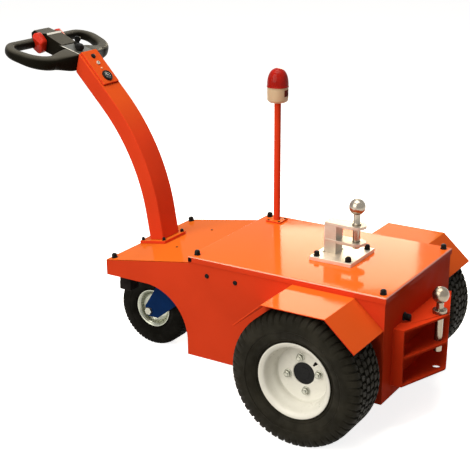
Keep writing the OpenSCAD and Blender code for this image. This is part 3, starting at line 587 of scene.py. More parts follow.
# Columns: radius, place out from the middle of the rim
RIM = scaled([
    (115.6, 66.0), (115.6, 68.2), (114.0, 69.0), (110.8, 68.6), (107.2, 67.0), (104.0, 65.2), (101.2, 63.4),
    (99.2, 60.0), (97.6, 55.0), (96.0, 48.0), (93.6, 41.0), (90.4, 35.0), (86.6, 29.5), (84.8, 24.0),
    (84.1, 18.0), (84.1, 13.0), (82.8, 10.2), (80.0, 9.0), (38.0, 9.0), (35.6, 8.2), (34.2, 6.8), (34.0, 5.5),
    (80.0, 5.5), (84.1, 2.0), (84.1, -27.0), (98.1, -41.0), (98.1, -65.5), (115.6, -69.0), (115.6, -65.5),
    (101.6, -62.0), (101.6, -43.0), (87.6, -29.0), (87.6, 29.0), (101.6, 43.0), (101.6, 62.0), (115.6, 66.0),
])


def add_rim(side, sign):
    """Pressed steel rim: a rolled flange, a barrel that narrows to the disc, and the tyre's two seats."""
    node = f"rim_{side}"
    bm = lathe(bmesh.new(), RIM, frame_at(centre(f"tyre_{side}"), (0, sign, 0)), 112)
    bmesh.ops.remove_doubles(bm, verts=bm.verts, dist=MERGE)
    stand_in(node, f"{node}_pressed", bm, M["rim_paint"])


# Half the caster's rim from its hub out to its seat. Columns: radius, place out from the middle
CASTER_DISH = scaled([
    (17.0, 4.0), (24.0, 4.0), (33.0, 4.4), (39.0, 5.4), (44.0, 7.4), (48.2, 10.6), (51.4, 14.6), (53.6, 19.0),
    (55.0, 23.6), (56.8, 27.2), (58.8, 29.6), (60.8, 31.4), (62.2, 33.4), (63.6, 34.4), (65.2, 34.5),
    (66.0, 33.8), (66.0, 31.6), (56.2, 25.6),
])
CASTER_BORE = 8.05 * MM


def add_caster_rim():
    """Pressed steel caster rim: a thin rolled edge round a dish, the same on both sides."""
    node = "caster_rim"
    low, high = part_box(node)
    half = (high.y - low.y) / 2
    side = [(CASTER_BORE, half), (CASTER_DISH[0][0], half)] + CASTER_DISH
    profile = side + [(r, -y) for r, y in side[::-1]] + side[:1]
    bm = lathe(bmesh.new(), profile, frame_at(centre(node), Y), 96)
    bmesh.ops.remove_doubles(bm, verts=bm.verts, dist=MERGE)
    stand_in(node, f"{node}_pressed", bm, ZINC)


add_caster_rim()

DISC_Y = 349 * MM
NUTS = 4
NUT_RING = 50.8 * MM
NUT_TURN = math.radians(11)
NUT_HEX, NUT_HEX_FOOT, NUT_HEX_TALL, NUT_HEX_TURN = 10 * MM, 2 * MM, 9 * MM, 0.4
# Columns of the turned shapes from here on: radius, height
NUT = scaled([(0, 15), (5.2, 15), (6.0, 14.2), (6.0, 12), (7.6, 12), (9.4, 10.8)])
NUT_SEAT = scaled([(12.5, 0), (12.5, 1.6), (11.0, 2.4), (9.0, 2.6)])
VALVE = scaled([
    (0, 26), (2.6, 26), (3.4, 25), (3.4, 20), (5.4, 19.4), (5.4, 8), (6.4, 5), (7.8, 1), (7.8, -1), (0, -1),
])
VALVE_RING = 91 * MM
VALVE_OUT = 25 * MM
VALVE_TURN = math.radians(46)
VALVE_SIZE = 0.85


def add_wheel_fixings(side, sign):
    """Four plated nuts on the wheel disc and a rubber valve, on the wheel's outer face."""
    axle = centre(f"tyre_{side}")
    out = Vector((0, sign, 0))
    nuts, valve = bmesh.new(), bmesh.new()
    for i in range(NUTS):
        a = NUT_TURN + i * math.tau / NUTS
        at = Vector((axle.x + NUT_RING * math.cos(a), sign * DISC_Y, axle.z + NUT_RING * math.sin(a)))
        place = frame_at(at, out)
        lathe(nuts, NUT_SEAT, place, 28)
        lathe(nuts, NUT, place, 24)
        prism(nuts, polygon_points(NUT_HEX, 6, NUT_HEX_TURN * i), raised(place, NUT_HEX_FOOT), NUT_HEX_TALL)
    spoke = Vector((math.cos(VALVE_TURN), 0, math.sin(VALVE_TURN)))
    at = Vector((axle.x, sign * (DISC_Y + VALVE_OUT), axle.z)) + spoke * VALVE_RING
    lathe(valve, VALVE, frame_at(at, out - spoke) @ Matrix.Scale(VALVE_SIZE, 4), 20)
    piece(f"wheel_nuts_{side}", nuts, M["galvanised_steel"], f"wheel_{side}", bevel=0.5 * MM)
    piece(f"wheel_valve_{side}", valve, M["rubber"], f"wheel_{side}")


for side, sign in (("left", -1), ("right", 1)):
    add_rim(side, sign)
    add_wheel_fixings(side, sign)

# Caps and small fixings

NOSE_SLOPE = math.radians(9.29)
NOSE_NORMAL = Vector((-math.sin(NOSE_SLOPE), 0, math.cos(NOSE_SLOPE)))
CAP_FLANGE = scaled([(0, 0), (10, 0), (10, 2.2), (9.2, 3.0), (0, 3.0)])
CAP_DOME = scaled([(0, 9.5), (8.5, 9.5), (8.4, 11.5), (7.2, 13.8), (5.0, 15.4), (2.4, 15.9), (0, 16)])
CAP_HEX, CAP_HEX_FOOT, CAP_HEX_TALL, CAP_HEX_TURN = 9.5 * MM, 2.6 * MM, 8.4 * MM, 0.7


def add_caps(node, normal, size=1.0):
    """Black hexagonal nut caps with a flange and a domed end."""
    bm = bmesh.new()
    for number, place in enumerate(seats(node, normal)):
        place = place @ Matrix.Scale(size, 4)
        lathe(bm, CAP_FLANGE, place, 32)
        lathe(bm, CAP_DOME, place, 32)
        hexagon = polygon_points(CAP_HEX, 6, CAP_HEX_TURN * number)
        prism(bm, hexagon, raised(place, CAP_HEX_FOOT), CAP_HEX_TALL)
    stand_in(node, f"{node}_domed", bm, bevel=0.6 * MM)


add_caps("lid_caps", Z)
add_caps("hitch_caps", Z)
add_caps("nose_caps", NOSE_NORMAL)
add_caps("tiller_caps", NOSE_NORMAL, 0.65)

SCREW = scaled([(0, 0), (4.6, 0), (4.6, 1.0), (3.6, 2.4), (2.2, 2.9), (1.9, 1.6), (0, 1.6)])


def add_screws(name, spots, normal, size):
    """Button-head screws with a socket, at places in mm."""
    bm = bmesh.new()
    for spot in spots:
        lathe(bm, SCREW, frame_at(Vector(spot) * MM, normal) @ Matrix.Scale(size, 4), 24)
    piece(name, bm, M["black_plastic"], "chassis", bevel=0.2 * MM)


# Place behind the lid's front and above its foot, then size, corner and thickness of the painted shadow patch
CORNER_BACK, CORNER_UP = 7 * MM, 8.5 * MM
CORNER_WIDE, CORNER_TALL, CORNER_ROUND, CORNER_THICK = 13 * MM, 14 * MM, 4 * MM, 0.8 * MM


def add_lid_corner_shadows():
    """Dark patches where the lid's front rim meets its side rims: painted shadow in the open corners."""
    low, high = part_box("lid")
    bm = bmesh.new()
    for y, out, along in ((low.y, -Y, X), (high.y, Y, -X)):
        at = Vector((low.x + CORNER_BACK, y, low.z + CORNER_UP)) - out * 0.4 * MM
        outline = rounded_box(CORNER_WIDE, CORNER_TALL, CORNER_ROUND)
        prism(bm, outline, frame_at(at, out, along), CORNER_THICK)
    piece("lid_corner_shadows", bm, PAINTED_SHADE, "chassis", bevel=0.2 * MM)


add_lid_corner_shadows()
add_screws("nose_screws", [(-141, 108, 397.9), (-146, -92, 397.1)], NOSE_NORMAL, 0.8)
add_screws("side_bolts_left", [(67, -239.5, 388), (168, -239.5, 386)], -Y, 1.6)
add_screws("side_bolts_right", [(67, 239.5, 388), (168, 239.5, 386)], Y, 1.6)

# Tiller instruments

ARM_LEAN = math.radians(43)
COVER_NORMAL = Vector((math.cos(ARM_LEAN), 0, math.sin(ARM_LEAN)))
UP_ARM = Vector((-math.sin(ARM_LEAN), 0, math.cos(ARM_LEAN)))
BEZEL = scaled([
    (13.2, 4.4), (13.6, 6.0), (14.6, 6.8), (16.2, 7.0), (17.6, 6.4), (18.3, 5.2), (18.7, 4.0), (19.5, 3.5),
    (19.5, 0), (0, 0),
])
DIAL_FACE = scaled([(13.4, 4.2), (13.4, 4.9), (10.2, 5.3), (0, 5.4)])
MARK_COUNT, MARK_STEP, MARK_RING = 7, math.radians(40), 9.7 * MM
NEEDLE = scaled([(-5.5, -0.9), (7.2, -0.3), (7.2, 0.3), (-5.5, 0.9)])
NEEDLE_TURN, NEEDLE_OUT = math.radians(35), 3.8 * MM
LAMP = scaled([(0, 3.5), (1.2, 3.3), (2.3, 2.6), (2.7, 1.4), (3.5, 1.2), (3.5, 0), (0, 0)])
SWITCH = scaled([(0, 3.2), (4.0, 3.2), (4.4, 4.3), (5.6, 4.5), (6.5, 3.8), (7.0, 1.8), (7.0, 0), (0, 0)])
PUSH_BUTTON = scaled([
    (0, 7.9), (3.1, 7.6), (5.1, 6.8), (5.9, 5.4), (6.1, 3.6), (7.2, 3.6), (8.0, 2.8), (8.5, 1.2), (8.5, 0),
    (0, 0),
])


def add_gauge():
    """Round charge gauge: stepped bezel, dished dial, marks and a needle."""
    place = seats("tiller_gauge", COVER_NORMAL, UP_ARM)[0]
    bezel = lathe(bmesh.new(), BEZEL, place, 56)
    stand_in("tiller_gauge", "tiller_gauge_bezel", bezel, bevel=0.3 * MM)
    dial = lathe(bmesh.new(), DIAL_FACE, place, 56)
    piece("tiller_gauge_dial", dial, DIAL, "chassis")
    marks = bmesh.new()
    for i in range(MARK_COUNT):
        turn = Matrix.Rotation(MARK_STEP * (i - MARK_COUNT // 2), 4, "Z")
        at = place @ turn @ Matrix.Translation((MARK_RING, 0, 5.3 * MM))
        prism(marks, rounded_box(2.8 * MM, 0.9 * MM, 0.3 * MM, 2), at, 0.3 * MM)
    turn = Matrix.Rotation(NEEDLE_TURN, 4, "Z")
    prism(marks, NEEDLE, place @ turn @ Matrix.Translation((NEEDLE_OUT, 0, 5.4 * MM)), 0.5 * MM)
    piece("tiller_gauge_marks", marks, PALE_PRINT_AND_HIGHLIGHT, "chassis")


def add_buttons():
    """Lamp, key switch and push button, from the lowest up."""
    places = seats("tiller_buttons", COVER_NORMAL, UP_ARM)
    lamp, switch, button = sorted(places, key=lambda place: place.translation.z)
    lens = lathe(bmesh.new(), LAMP, lamp, 28)
    stand_in("tiller_buttons", "tiller_lamp", lens, AMBER)
    barrel = lathe(bmesh.new(), SWITCH, switch, 36)
    piece("tiller_key_switch", barrel, M["hitch_alloy"], "chassis")
    # The key slot is a dark patch: painted shade in its opening
    outline = rounded_box(5.6 * MM, 1.4 * MM, 0.4 * MM, 2)
    keyhole = prism(bmesh.new(), outline, raised(switch, 3.0 * MM), 0.5 * MM)
    piece("tiller_key_slot", keyhole, PAINTED_SHADE, "chassis")
    push = lathe(bmesh.new(), PUSH_BUTTON, button, 40)
    piece("tiller_push_button", push, M["black_plastic"], "chassis")


add_gauge()
add_buttons()

# Handle

TILT = math.radians(15.4)
HANDLE_AT = Vector((-549.816, 0, 977.455)) * MM
# Own axes of the handle: X towards the operator, Y to the left side, Z up from the handle's plane
HANDLE = frame_at(HANDLE_AT, (math.sin(TILT), 0, math.cos(TILT)), (-math.cos(TILT), 0, math.sin(TILT)))
HANDLE_NORMAL = HANDLE.col[2].xyz
GRIP_U, BAR_U = 184 * MM, 42 * MM
GRIP_D, BAR_W, BAR_H = 30 * MM, 42 * MM, 44 * MM
RING_TOP = -14 * MM
# Plan of the ring: its corners and their radii
RING_CORNERS = [Vector(c) * MM for c in ((184, 212), (42, 170), (42, -170), (184, -212))]
RING_RADII = [46 * MM, 78 * MM, 78 * MM, 46 * MM]
SECTION_SIDES = 40
RING_POWER, BOSS_POWER = 2.8, 9
BOSS_REACH, BOSS_HALF, BOSS_TOP, BOSS_FOOT, BOSS_FRONT = 128 * MM, 46 * MM, -4 * MM, -62 * MM, 61 * MM
BOSS_STEPS = 16


def round_corner(before, corner, after, radius, steps=22):
    """Points of an arc that rounds a corner of a plan."""
    back, ahead = (before - corner).normalized(), (after - corner).normalized()
    half = back.angle(ahead) / 2
    middle = corner + (back + ahead).normalized() * (radius / math.sin(half))
    start = corner + back * (radius / math.tan(half)) - middle
    end = corner + ahead * (radius / math.tan(half)) - middle
    swing = start.angle_signed(end)
    return [middle + Matrix.Rotation(-swing * i / steps, 2) @ start for i in range(steps + 1)]


def ring_section(u):
    """Width and height of the ring at a distance from the arm: a tall bar that thins to the round grip."""
    f = max(0.0, min(1.0, (u - BAR_U) / (GRIP_U - BAR_U)))
    return BAR_W + (GRIP_D - BAR_W) * f, BAR_H + (GRIP_D - BAR_H) * f


def add_handle_ring():
    """Closed ring of the handle, swept along its plan."""
    path = []
    for i, radius in enumerate(RING_RADII):
        after = RING_CORNERS[(i + 1) % len(RING_CORNERS)]
        path += round_corner(RING_CORNERS[i - 1], RING_CORNERS[i], after, radius)
    bm = bmesh.new()
    rings = []
    for i, at in enumerate(path):
        along = (path[(i + 1) % len(path)] - path[i - 1]).normalized()
        side = Vector((along.y, -along.x))
        width, height = ring_section(at.x)
        ring = []
        for out, up in superellipse(width, height, RING_POWER, SECTION_SIDES):
            flat = at + side * out
            ring.append(bm.verts.new(HANDLE @ Vector((flat.x, flat.y, RING_TOP - height / 2 + up))))
        rings.append(ring)
    skin(bm, rings, closed=True)
    stand_in("handle_frame", "handle_ring", bm)


def add_handle_boss():
    """Boss on the arm's end with a shoulder each side that flows into the rear bar."""
    bar = superellipse(BAR_W - 1 * MM, BAR_H - 1 * MM, RING_POWER, SECTION_SIDES)
    bar = [(BAR_U + a, RING_TOP - BAR_H / 2 + b) for a, b in bar]
    block = superellipse(BOSS_FRONT - 0.6 * MM, BOSS_TOP - BOSS_FOOT, BOSS_POWER, SECTION_SIDES)
    block = [(BOSS_FRONT / 2 + a, (BOSS_TOP + BOSS_FOOT) / 2 + b) for a, b in block]
    shoulder = BOSS_REACH - BOSS_HALF
    run = [i * shoulder / BOSS_STEPS for i in range(BOSS_STEPS + 1)]
    bm = bmesh.new()
    rings = []
    for v in [-BOSS_REACH + s for s in run] + [BOSS_HALF + s for s in run]:
        f = max(0.0, (abs(v) - BOSS_HALF) / shoulder)
        f = f * f * (3 - 2 * f)
        rings.append([
            bm.verts.new(HANDLE @ Vector((u0 + (u1 - u0) * f, v, n0 + (n1 - n0) * f)))
            for (u0, n0), (u1, n1) in zip(block, bar)
        ])
    skin(bm, rings)
    piece("handle_boss", bm, M["handle_plastic"], "chassis")


def turns_left(a, b, c):
    return (Vector(b) - Vector(a)).cross(Vector(c) - Vector(a)) > 0


def convex(points):
    """Convex outline round a set of points."""
    def chain(run):
        kept = []
        for p in run:
            while len(kept) > 1 and not turns_left(kept[-2], kept[-1], p):
                kept.pop()
            kept.append(p)
        return kept[:-1]

    ordered = sorted(points)
    return chain(ordered) + chain(ordered[::-1])


# Columns: distance from the grip along the handle, height from the grip, radius
PADDLE_CIRCLES = ((-12, 27, 12), (-31, 14, 14), (-29, -9, 16), (-16, -7, 14))
PADDLE_RIDGE = (Vector((-4, 24)) * MM, Vector((-41, 13)) * MM)
PADDLE_MIDDLE = Vector((-22.5, 7)) * MM
# Distances from the control box, and how steeply the outer face falls above and below the ridge
PADDLE_RIM, PADDLE_CREST = 25.5 * MM, 31.8 * MM
FALL_ABOVE, FALL_BELOW = 0.34, 0.12
BOX_HALF = 37 * MM


def add_paddles():
    """Red thumb rockers by the grip: soft edges and an outer face that falls away from a ridge."""
    outline = scaled(convex([
        (du + x, dn + y) for du, dn, r in PADDLE_CIRCLES for x, y in polygon_points(r, 48)
    ]))
    start, end = PADDLE_RIDGE
    along = (end - start).normalized()
    bar_n = RING_TOP - GRIP_D / 2
    bm = bmesh.new()
    for sign in (-1, 1):
        columns = []
        for point in map(Vector, outline):
            offset = point - start
            above = offset.dot(Vector((along.y, -along.x)))
            rim = PADDLE_RIM - (FALL_ABOVE * above if above > 0 else -FALL_BELOW * above)
            ridge = start + along * max(0.0, min((end - start).length, offset.dot(along)))
            # Columns: share of the outline's size, distance from the control box
            shape = ((0.93, 2 * MM), (0.98, 3 * MM), (1.0, 5 * MM), (1.0, rim), (0.96, rim + 1.8 * MM))
            spots = [(PADDLE_MIDDLE + (point - PADDLE_MIDDLE) * share, gap) for share, gap in shape]
            spots.append((ridge, PADDLE_CREST))
            columns.append([
                bm.verts.new(HANDLE @ Vector((GRIP_U + spot.x, sign * (BOX_HALF + gap), bar_n + spot.y)))
                for spot, gap in spots
            ])
        skin(bm, list(zip(*columns)))
    bmesh.ops.remove_doubles(bm, verts=bm.verts, dist=MERGE)
    bmesh.ops.dissolve_degenerate(bm, dist=MERGE, edges=bm.edges)
    stand_in("throttle_paddles", "throttle_rockers", bm)


def fluted(radius, depth, flutes, steps=4):
    """Outline of a knob with finger flutes."""
    points = []
    for i in range(flutes * steps):
        r = radius - depth * (0.5 - 0.5 * math.cos(math.tau * i / steps))
        a = math.tau * i / (flutes * steps)
        points.append((r * math.cos(a), r * math.sin(a)))
    return points


KNOB_FOOT = scaled([(0, 0), (12.2, 0), (12.2, 3), (10.8, 4.5), (0, 4.5)])
KNOB_TOP = scaled([(0, 15.5), (12.4, 15.5), (11.6, 18.4), (8.4, 19.8), (0, 20)])
KNOB_GRIP, KNOB_GRIP_FOOT, KNOB_GRIP_TALL = fluted(15 * MM, 1.3 * MM, 14), 4.5 * MM, 11.0 * MM
KEY_BARREL = scaled([(0, 0), (9, 0), (9, 5), (7.8, 7), (7.4, 10), (0, 10)])
KEY_BOW = [(x, y + 8 * MM) for x, y in rounded_box(21 * MM, 17 * MM, 7 * MM)]
KEY_TURN, KEY_THICK = math.radians(35), 6.0 * MM


def add_knobs():
    """A fluted knob with a raised grip and a key switch with its key."""
    places = seats("head_knobs", HANDLE_NORMAL, HANDLE.col[0].xyz)
    key_at, knob_at = sorted(places, key=lambda place: place.translation.x)
    bm = bmesh.new()
    lathe(bm, KNOB_FOOT, knob_at, 36)
    prism(bm, KNOB_GRIP, raised(knob_at, KNOB_GRIP_FOOT), KNOB_GRIP_TALL)
    lathe(bm, KNOB_TOP, knob_at, 36)
    lathe(bm, KEY_BARREL, key_at, 32)
    turned = Matrix.Rotation(KEY_TURN, 4, "Z") @ Matrix.Translation((0, KEY_THICK / 2, KEY_BARREL[-1][1]))
    prism(bm, KEY_BOW, key_at @ turned @ Matrix.Rotation(math.radians(90), 4, "X"), KEY_THICK)
    stand_in("head_knobs", "handle_knobs", bm, bevel=0.5 * MM)


# Places on the handle in its own axes
STRIP_AT, STRIP_NORMAL = Vector((148.0, 0, 11.5)) * MM, (-0.78, 0, 0.62)
SPINE_EDGE_AT, SPINE_AT = Vector((40, 40.2, -3.1)) * MM, Vector((40, 0, -3.1)) * MM


def add_handle_highlights():
    """Pale strip on the ridge of the control box and a pale line along the spine's near edge, both painted
    highlights, and a satin plate on the spine.
    """
    bm = bmesh.new()
    riser = HANDLE @ frame_at(STRIP_AT, STRIP_NORMAL, Y)
    prism(bm, rounded_box(72 * MM, 6.2 * MM, 1.0 * MM, 3), riser, 0.7 * MM)
    edge = HANDLE @ frame_at(SPINE_EDGE_AT, Z)
    prism(bm, rounded_box(75 * MM, 2.2 * MM, 0.8 * MM, 3), edge, 0.9 * MM)
    piece("handle_painted_highlights", bm, PALE_PRINT_AND_HIGHLIGHT, "chassis")
    plate = HANDLE @ frame_at(SPINE_AT, Z)
    satin = prism(bmesh.new(), rounded_box(74 * MM, 76 * MM, 4 * MM, 4), plate, 0.6 * MM)
    piece("spine_plate", satin, SATIN, "chassis", bevel=0.2 * MM)


add_handle_ring()
add_handle_boss()
add_paddles()
add_knobs()
add_handle_highlights()

# Beacon

# Columns: radius, height above the foot or distance below the top
HOUSING_FOOT = scaled([(0, 0), (24, 0), (27.5, 1), (31, 4), (33.6, 7), (34.1, 9)])
HOUSING_TOP = scaled([(34.4, 5), (33.6, 4.4), (33.6, 3.4), (34.5, 2.8), (34.5, 0), (0, 0)])
WINDOW_STEPS, WINDOW_START, WINDOW_STEP = 14, math.radians(-22), math.radians(3)
WINDOW_IN, WINDOW_OUT, WINDOW_FOOT, WINDOW_TOP = 34.0 * MM, 35.0 * MM, 28 * MM, 7 * MM
DOME_TURNS, DOME_RADIUS, DOME_FOOT, DOME_RISE, DOME_ROUND = 144, 34.6 * MM, 4 * MM, 2.5, 0.45
# The last ring stops a little short of the crown
DOME_RINGS, DOME_CROWN = 22, 22.4
# Depth in mm, then shares of the dome's height where the flutes end, fade and are full
FLUTES, FLUTE_DEPTH, FLUTE_END, FLUTE_FADE, FLUTE_FULL = 48, 0.5, 0.62, 0.1, 0.06
# Columns: radius, height, depth of the flutes, all in mm
DOME_FLANGE = ((36, 0, 0.6), (36, 3, 0.6), (35.4, 4, 0.0), (34.6, 4.4, 0.0))
# Places of the screws about the pole and the top of its flange, in mm
POLE_SCREWS, FLANGE_TOP = (-20, 20), 5


def flute_depth(up):
    """Depth of the dome's flutes in mm, by share of its height: they start at the foot and fade out."""
    return FLUTE_DEPTH * max(0.0, min(1.0, (FLUTE_END - up) / FLUTE_FADE)) * min(1.0, up / FLUTE_FULL)


def add_beacon():
    """Cream housing with its dark window, fluted red dome and the four screws of the pole's flange."""
    low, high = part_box("beacon_base")
    middle = (low + high) / 2
    base_at = frame_at((middle.x, middle.y, low.z), Z)
    tall = high.z - low.z
    profile = HOUSING_FOOT + [(r, tall - down) for r, down in HOUSING_TOP]
    base = lathe(bmesh.new(), profile, base_at, 72)
    stand_in("beacon_base", "beacon_housing", base)
    foot, top = tall - WINDOW_FOOT, tall - WINDOW_TOP
    section = ((WINDOW_IN, foot), (WINDOW_OUT, foot), (WINDOW_OUT, top), (WINDOW_IN, top))
    window = bmesh.new()
    columns = []
    for i in range(WINDOW_STEPS):
        a = WINDOW_START + WINDOW_STEP * i
        columns.append([
            window.verts.new(base_at @ Vector((r * math.cos(a), r * math.sin(a), z))) for r, z in section
        ])
    skin(window, columns)
    piece("beacon_window", window, DARK_RED, "chassis", bevel=0.3 * MM)

    low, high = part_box("beacon_dome")
    dome_at = frame_at((middle.x, middle.y, low.z), Z)
    dome = bmesh.new()
    profile = [(r * MM, z * MM, flute) for r, z, flute in DOME_FLANGE]
    for i in range(1, DOME_RINGS + 1):
        up = math.sin(math.pi / 2 * i / DOME_CROWN)
        z = DOME_FOOT + (high.z - low.z - DOME_FOOT) * up
        profile.append((DOME_RADIUS * (1 - up ** DOME_RISE) ** DOME_ROUND, z, flute_depth(up)))
    rings = []
    for r, z, flute in profile:
        ring = []
        for k in range(DOME_TURNS):
            a = math.tau * k / DOME_TURNS
            here = r - flute * MM * (0.5 - 0.5 * math.cos(FLUTES * a))
            ring.append(dome.verts.new(dome_at @ Vector((here * math.cos(a), here * math.sin(a), z))))
        rings.append(ring)
    skin(dome, rings)
    stand_in("beacon_dome", "beacon_lens", dome)

    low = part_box("beacon_pole")[0]
    x, y, z = middle.x / MM, middle.y / MM, low.z / MM + FLANGE_TOP
    spots = [(x + dx, y + dy, z) for dx in POLE_SCREWS for dy in POLE_SCREWS]
    add_screws("beacon_screws", spots, Z, 0.8)


add_beacon()

# Hitches

BALL_SEAT = scaled([(11, 0), (13.4, 0), (13.8, 0.6), (13.8, 4.4), (13.0, 5.2), (10.8, 5.6)])
BALL_NECK = 10.4 * MM
BALL_STEPS = 32
PLUG_RIBS, PLUG_PITCH = 4, 3
BRACKET_DEEP, DECK_WELD, REAR_WELD = 40 * MM, 2.2 * MM, 2.4 * MM


def add_deck_ball():
    """Tow ball on a plain neck with a narrow seat ring."""
    node = "upper_hitch_ball"
    low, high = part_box(node)
    seat_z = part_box("upper_hitch_bracket")[1].z
    radius = (high.x - low.x) / 2
    shaft = BALL_SEAT[0][0]
    foot, up = low.z - seat_z, high.z - seat_z - radius
    profile = [(0, foot), (shaft - 1 * MM, foot), (shaft, foot + 1 * MM)] + BALL_SEAT
    start = math.acos(BALL_NECK / radius)
    profile += [(BALL_NECK, BALL_SEAT[-1][1] + 1 * MM), (BALL_NECK, up - radius * math.sin(start))]
    for i in range(1, BALL_STEPS + 1):
        a = -start + (math.pi / 2 + start) * i / BALL_STEPS
        profile.append((radius * math.cos(a), up + radius * math.sin(a)))
    bm = lathe(bmesh.new(), profile, frame_at((low.x + radius, low.y + radius, seat_z), Z), 64)
    stand_in(node, f"{node}_turned", bm, M["chrome_steel"])


def add_plug():
    """Cable plug with ribbed grip rings on the rear panel."""
    place = seats("rear_plug", X, Z)[0]
    profile = [(0, 0), (13, 0), (13, 2.4), (12.2, 3.2), (10.6, 4.0)]
    for i in range(PLUG_RIBS):
        up = PLUG_PITCH * i
        profile += [(10.6, 5 + up), (9.9, 5.6 + up), (9.9, 7.0 + up), (10.6, 7.6 + up)]
    profile += [(10.4, 18), (8.6, 20.4), (7, 21), (0, 21)]
    plug = lathe(bmesh.new(), scaled(profile), place, 36)
    stand_in("rear_plug", "rear_plug_ribbed", plug)


def add_welds():
    """Weld beads round the feet of the hitches."""
    bm = bmesh.new()
    low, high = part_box("upper_hitch_bracket")
    foot_z = low.z + 1 * MM
    for x in (low.x, low.x + BRACKET_DEEP):
        bead(bm, [(x, low.y + 2 * MM, foot_z), (x, high.y - 2 * MM, foot_z)], DECK_WELD)
    piece("upper_hitch_welds", bm, M["hitch_alloy"], "chassis")
    bm = bmesh.new()
    low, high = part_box("rear_hitch")
    wall_x = low.x + 1 * MM
    for y in (low.y, high.y):
        bead(bm, [(wall_x, y, low.z + 4 * MM), (wall_x, y, high.z - 4 * MM)], REAR_WELD)
    piece("rear_hitch_welds", bm, SHADED_REAR_PAINT, "chassis")


add_deck_ball()
add_plug()
add_welds()

# Stage, light and camera

PHOTO_PX = 470
FOCAL_PX = 1120.3
PRINCIPAL_PX = (247.8, 269.1)
CAMERA_AT = (1.8302, -2.8852, 1.6160)
AZIMUTH, ELEVATION, ROLL = (math.radians(v) for v in (31.44, 20.78, -0.11))
SKY_COLOUR, SKY_STRENGTH = (1.0, 0.97, 0.92, 1), 0.14
FLOOR_HALF, FLOOR_GLOW, FLOOR_GREY = 14.0, 0.83, (0.22, 0.21, 0.20, 1)
WARM, WARMER = (1.0, 0.95, 0.86), (1.0, 0.87, 0.62)


def add_camera():
    """Camera fitted to the photograph."""
    data = bpy.data.cameras.new("camera")
    data.sensor_width = 36.0
    data.lens = data.sensor_width * FOCAL_PX / PHOTO_PX
    data.shift_x = (PHOTO_PX / 2 - PRINCIPAL_PX[0]) / PHOTO_PX
    data.shift_y = (PRINCIPAL_PX[1] - PHOTO_PX / 2) / PHOTO_PX
    data.clip_end = 100.0
    level = math.cos(ELEVATION)
    back = Vector((math.sin(AZIMUTH) * level, -math.cos(AZIMUTH) * level, math.sin(ELEVATION)))
    right = Z.cross(back).normalized()
    up = back.cross(right)
    right, up = right * math.cos(ROLL) + up * math.sin(ROLL), up * math.cos(ROLL) - right * math.sin(ROLL)
    camera = bpy.data.objects.new("camera", data)
    camera.matrix_world = axes_at(CAMERA_AT, right, up, back)
    bpy.context.scene.collection.objects.link(camera)
    bpy.context.scene.camera = camera


def seen_or_mirrored(tree):
    """A socket that is 1 for what the eye sees, straight on or in gloss and glass, and 0 for other light."""
    path = tree.nodes.new("ShaderNodeLightPath")
    seen = path.outputs["Is Camera Ray"]
    for name in ("Is Glossy Ray", "Is Transmission Ray"):
        either = tree.nodes.new("ShaderNodeMath")
        either.operation = "MAXIMUM"
        tree.links.new(seen, either.inputs[0])
        tree.links.new(path.outputs[name], either.inputs[1])
        seen = either.outputs[0]
    return seen


def add_world():
    """Even light from all round, behind a white background."""
    world = bpy.data.worlds.new("studio")
    world.use_nodes = True
    tree = world.node_tree
    lamp = tree.nodes["Background"]
    lamp.inputs["Color"].default_value = SKY_COLOUR
    lamp.inputs["Strength"].default_value = SKY_STRENGTH
    white = tree.nodes.new("ShaderNodeBackground")
    white.inputs["Color"].default_value = (1, 1, 1, 1)
    white.inputs["Strength"].default_value = 1.0
    mix = tree.nodes.new("ShaderNodeMixShader")
    tree.links.new(seen_or_mirrored(tree), mix.inputs["Fac"])
    tree.links.new(lamp.outputs["Background"], mix.inputs[1])
    tree.links.new(white.outputs["Background"], mix.inputs[2])
    tree.links.new(mix.outputs["Shader"], tree.nodes["World Output"].inputs["Surface"])
    bpy.context.scene.world = world


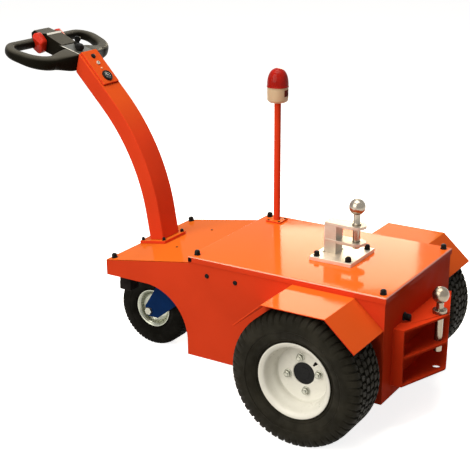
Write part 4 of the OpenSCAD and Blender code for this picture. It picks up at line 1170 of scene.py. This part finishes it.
def add_floor():
    """Pale floor: white to the eye, with the object's shadow, and greyer in the light it throws back."""
    bm = bmesh.new()
    bmesh.ops.create_grid(bm, x_segments=8, y_segments=8, size=FLOOR_HALF)
    mesh = bpy.data.meshes.new("floor")
    bm.to_mesh(mesh)
    bm.free()
    floor = bpy.data.objects.new("floor", mesh)
    bpy.context.scene.collection.objects.link(floor)
    g = Graph("pale_floor", Roughness=0.95, Specular_IOR_Level=0.0)
    g.into(g.ramp(g.noise(3.0), [(0.3, (0.93, 0.93, 0.93)), (0.7, (0.96, 0.96, 0.96))]), "Base Color")
    g.shader.inputs["Emission Color"].default_value = (1, 1, 1, 1)
    g.shader.inputs["Emission Strength"].default_value = FLOOR_GLOW
    grey = g.add("ShaderNodeBsdfDiffuse", Color=FLOOR_GREY)
    mix = g.add("ShaderNodeMixShader", {"Fac": seen_or_mirrored(g.tree)})
    g.tree.links.new(grey.outputs["BSDF"], mix.inputs[1])
    g.tree.links.new(g.shader.outputs["BSDF"], mix.inputs[2])
    g.tree.links.new(mix.outputs["Shader"], g.tree.nodes["Material Output"].inputs["Surface"])
    mesh.materials.append(g.material)


def add_area(name, at, toward, size, power, colour):
    """Softbox of `power` watts that looks toward a point."""
    data = bpy.data.lights.new(name, "AREA")
    data.shape = "RECTANGLE"
    data.size, data.size_y = size
    data.energy = power
    data.color = colour
    lamp = bpy.data.objects.new(name, data)
    lamp.location = at
    lamp.rotation_mode = "QUATERNION"
    lamp.rotation_quaternion = (Vector(toward) - Vector(at)).to_track_quat("-Z", "Y")
    bpy.context.scene.collection.objects.link(lamp)


add_camera()
add_world()
add_floor()
add_area("top", (0.0, -0.2, 4.0), (0.1, 0.0, 0.4), (3.0, 3.0), 145, WARM)
add_area("front", (-0.7, -3.4, 2.35), (0.0, 0.0, 0.4), (3.3, 3.3), 142, WARM)
add_area("far_softbox", (-1.34, 3.69, 2.0), (0.40, 0.0, 0.44), (1.1, 1.1), 47, WARMER)

bpy.context.scene.view_settings.view_transform = "Standard"
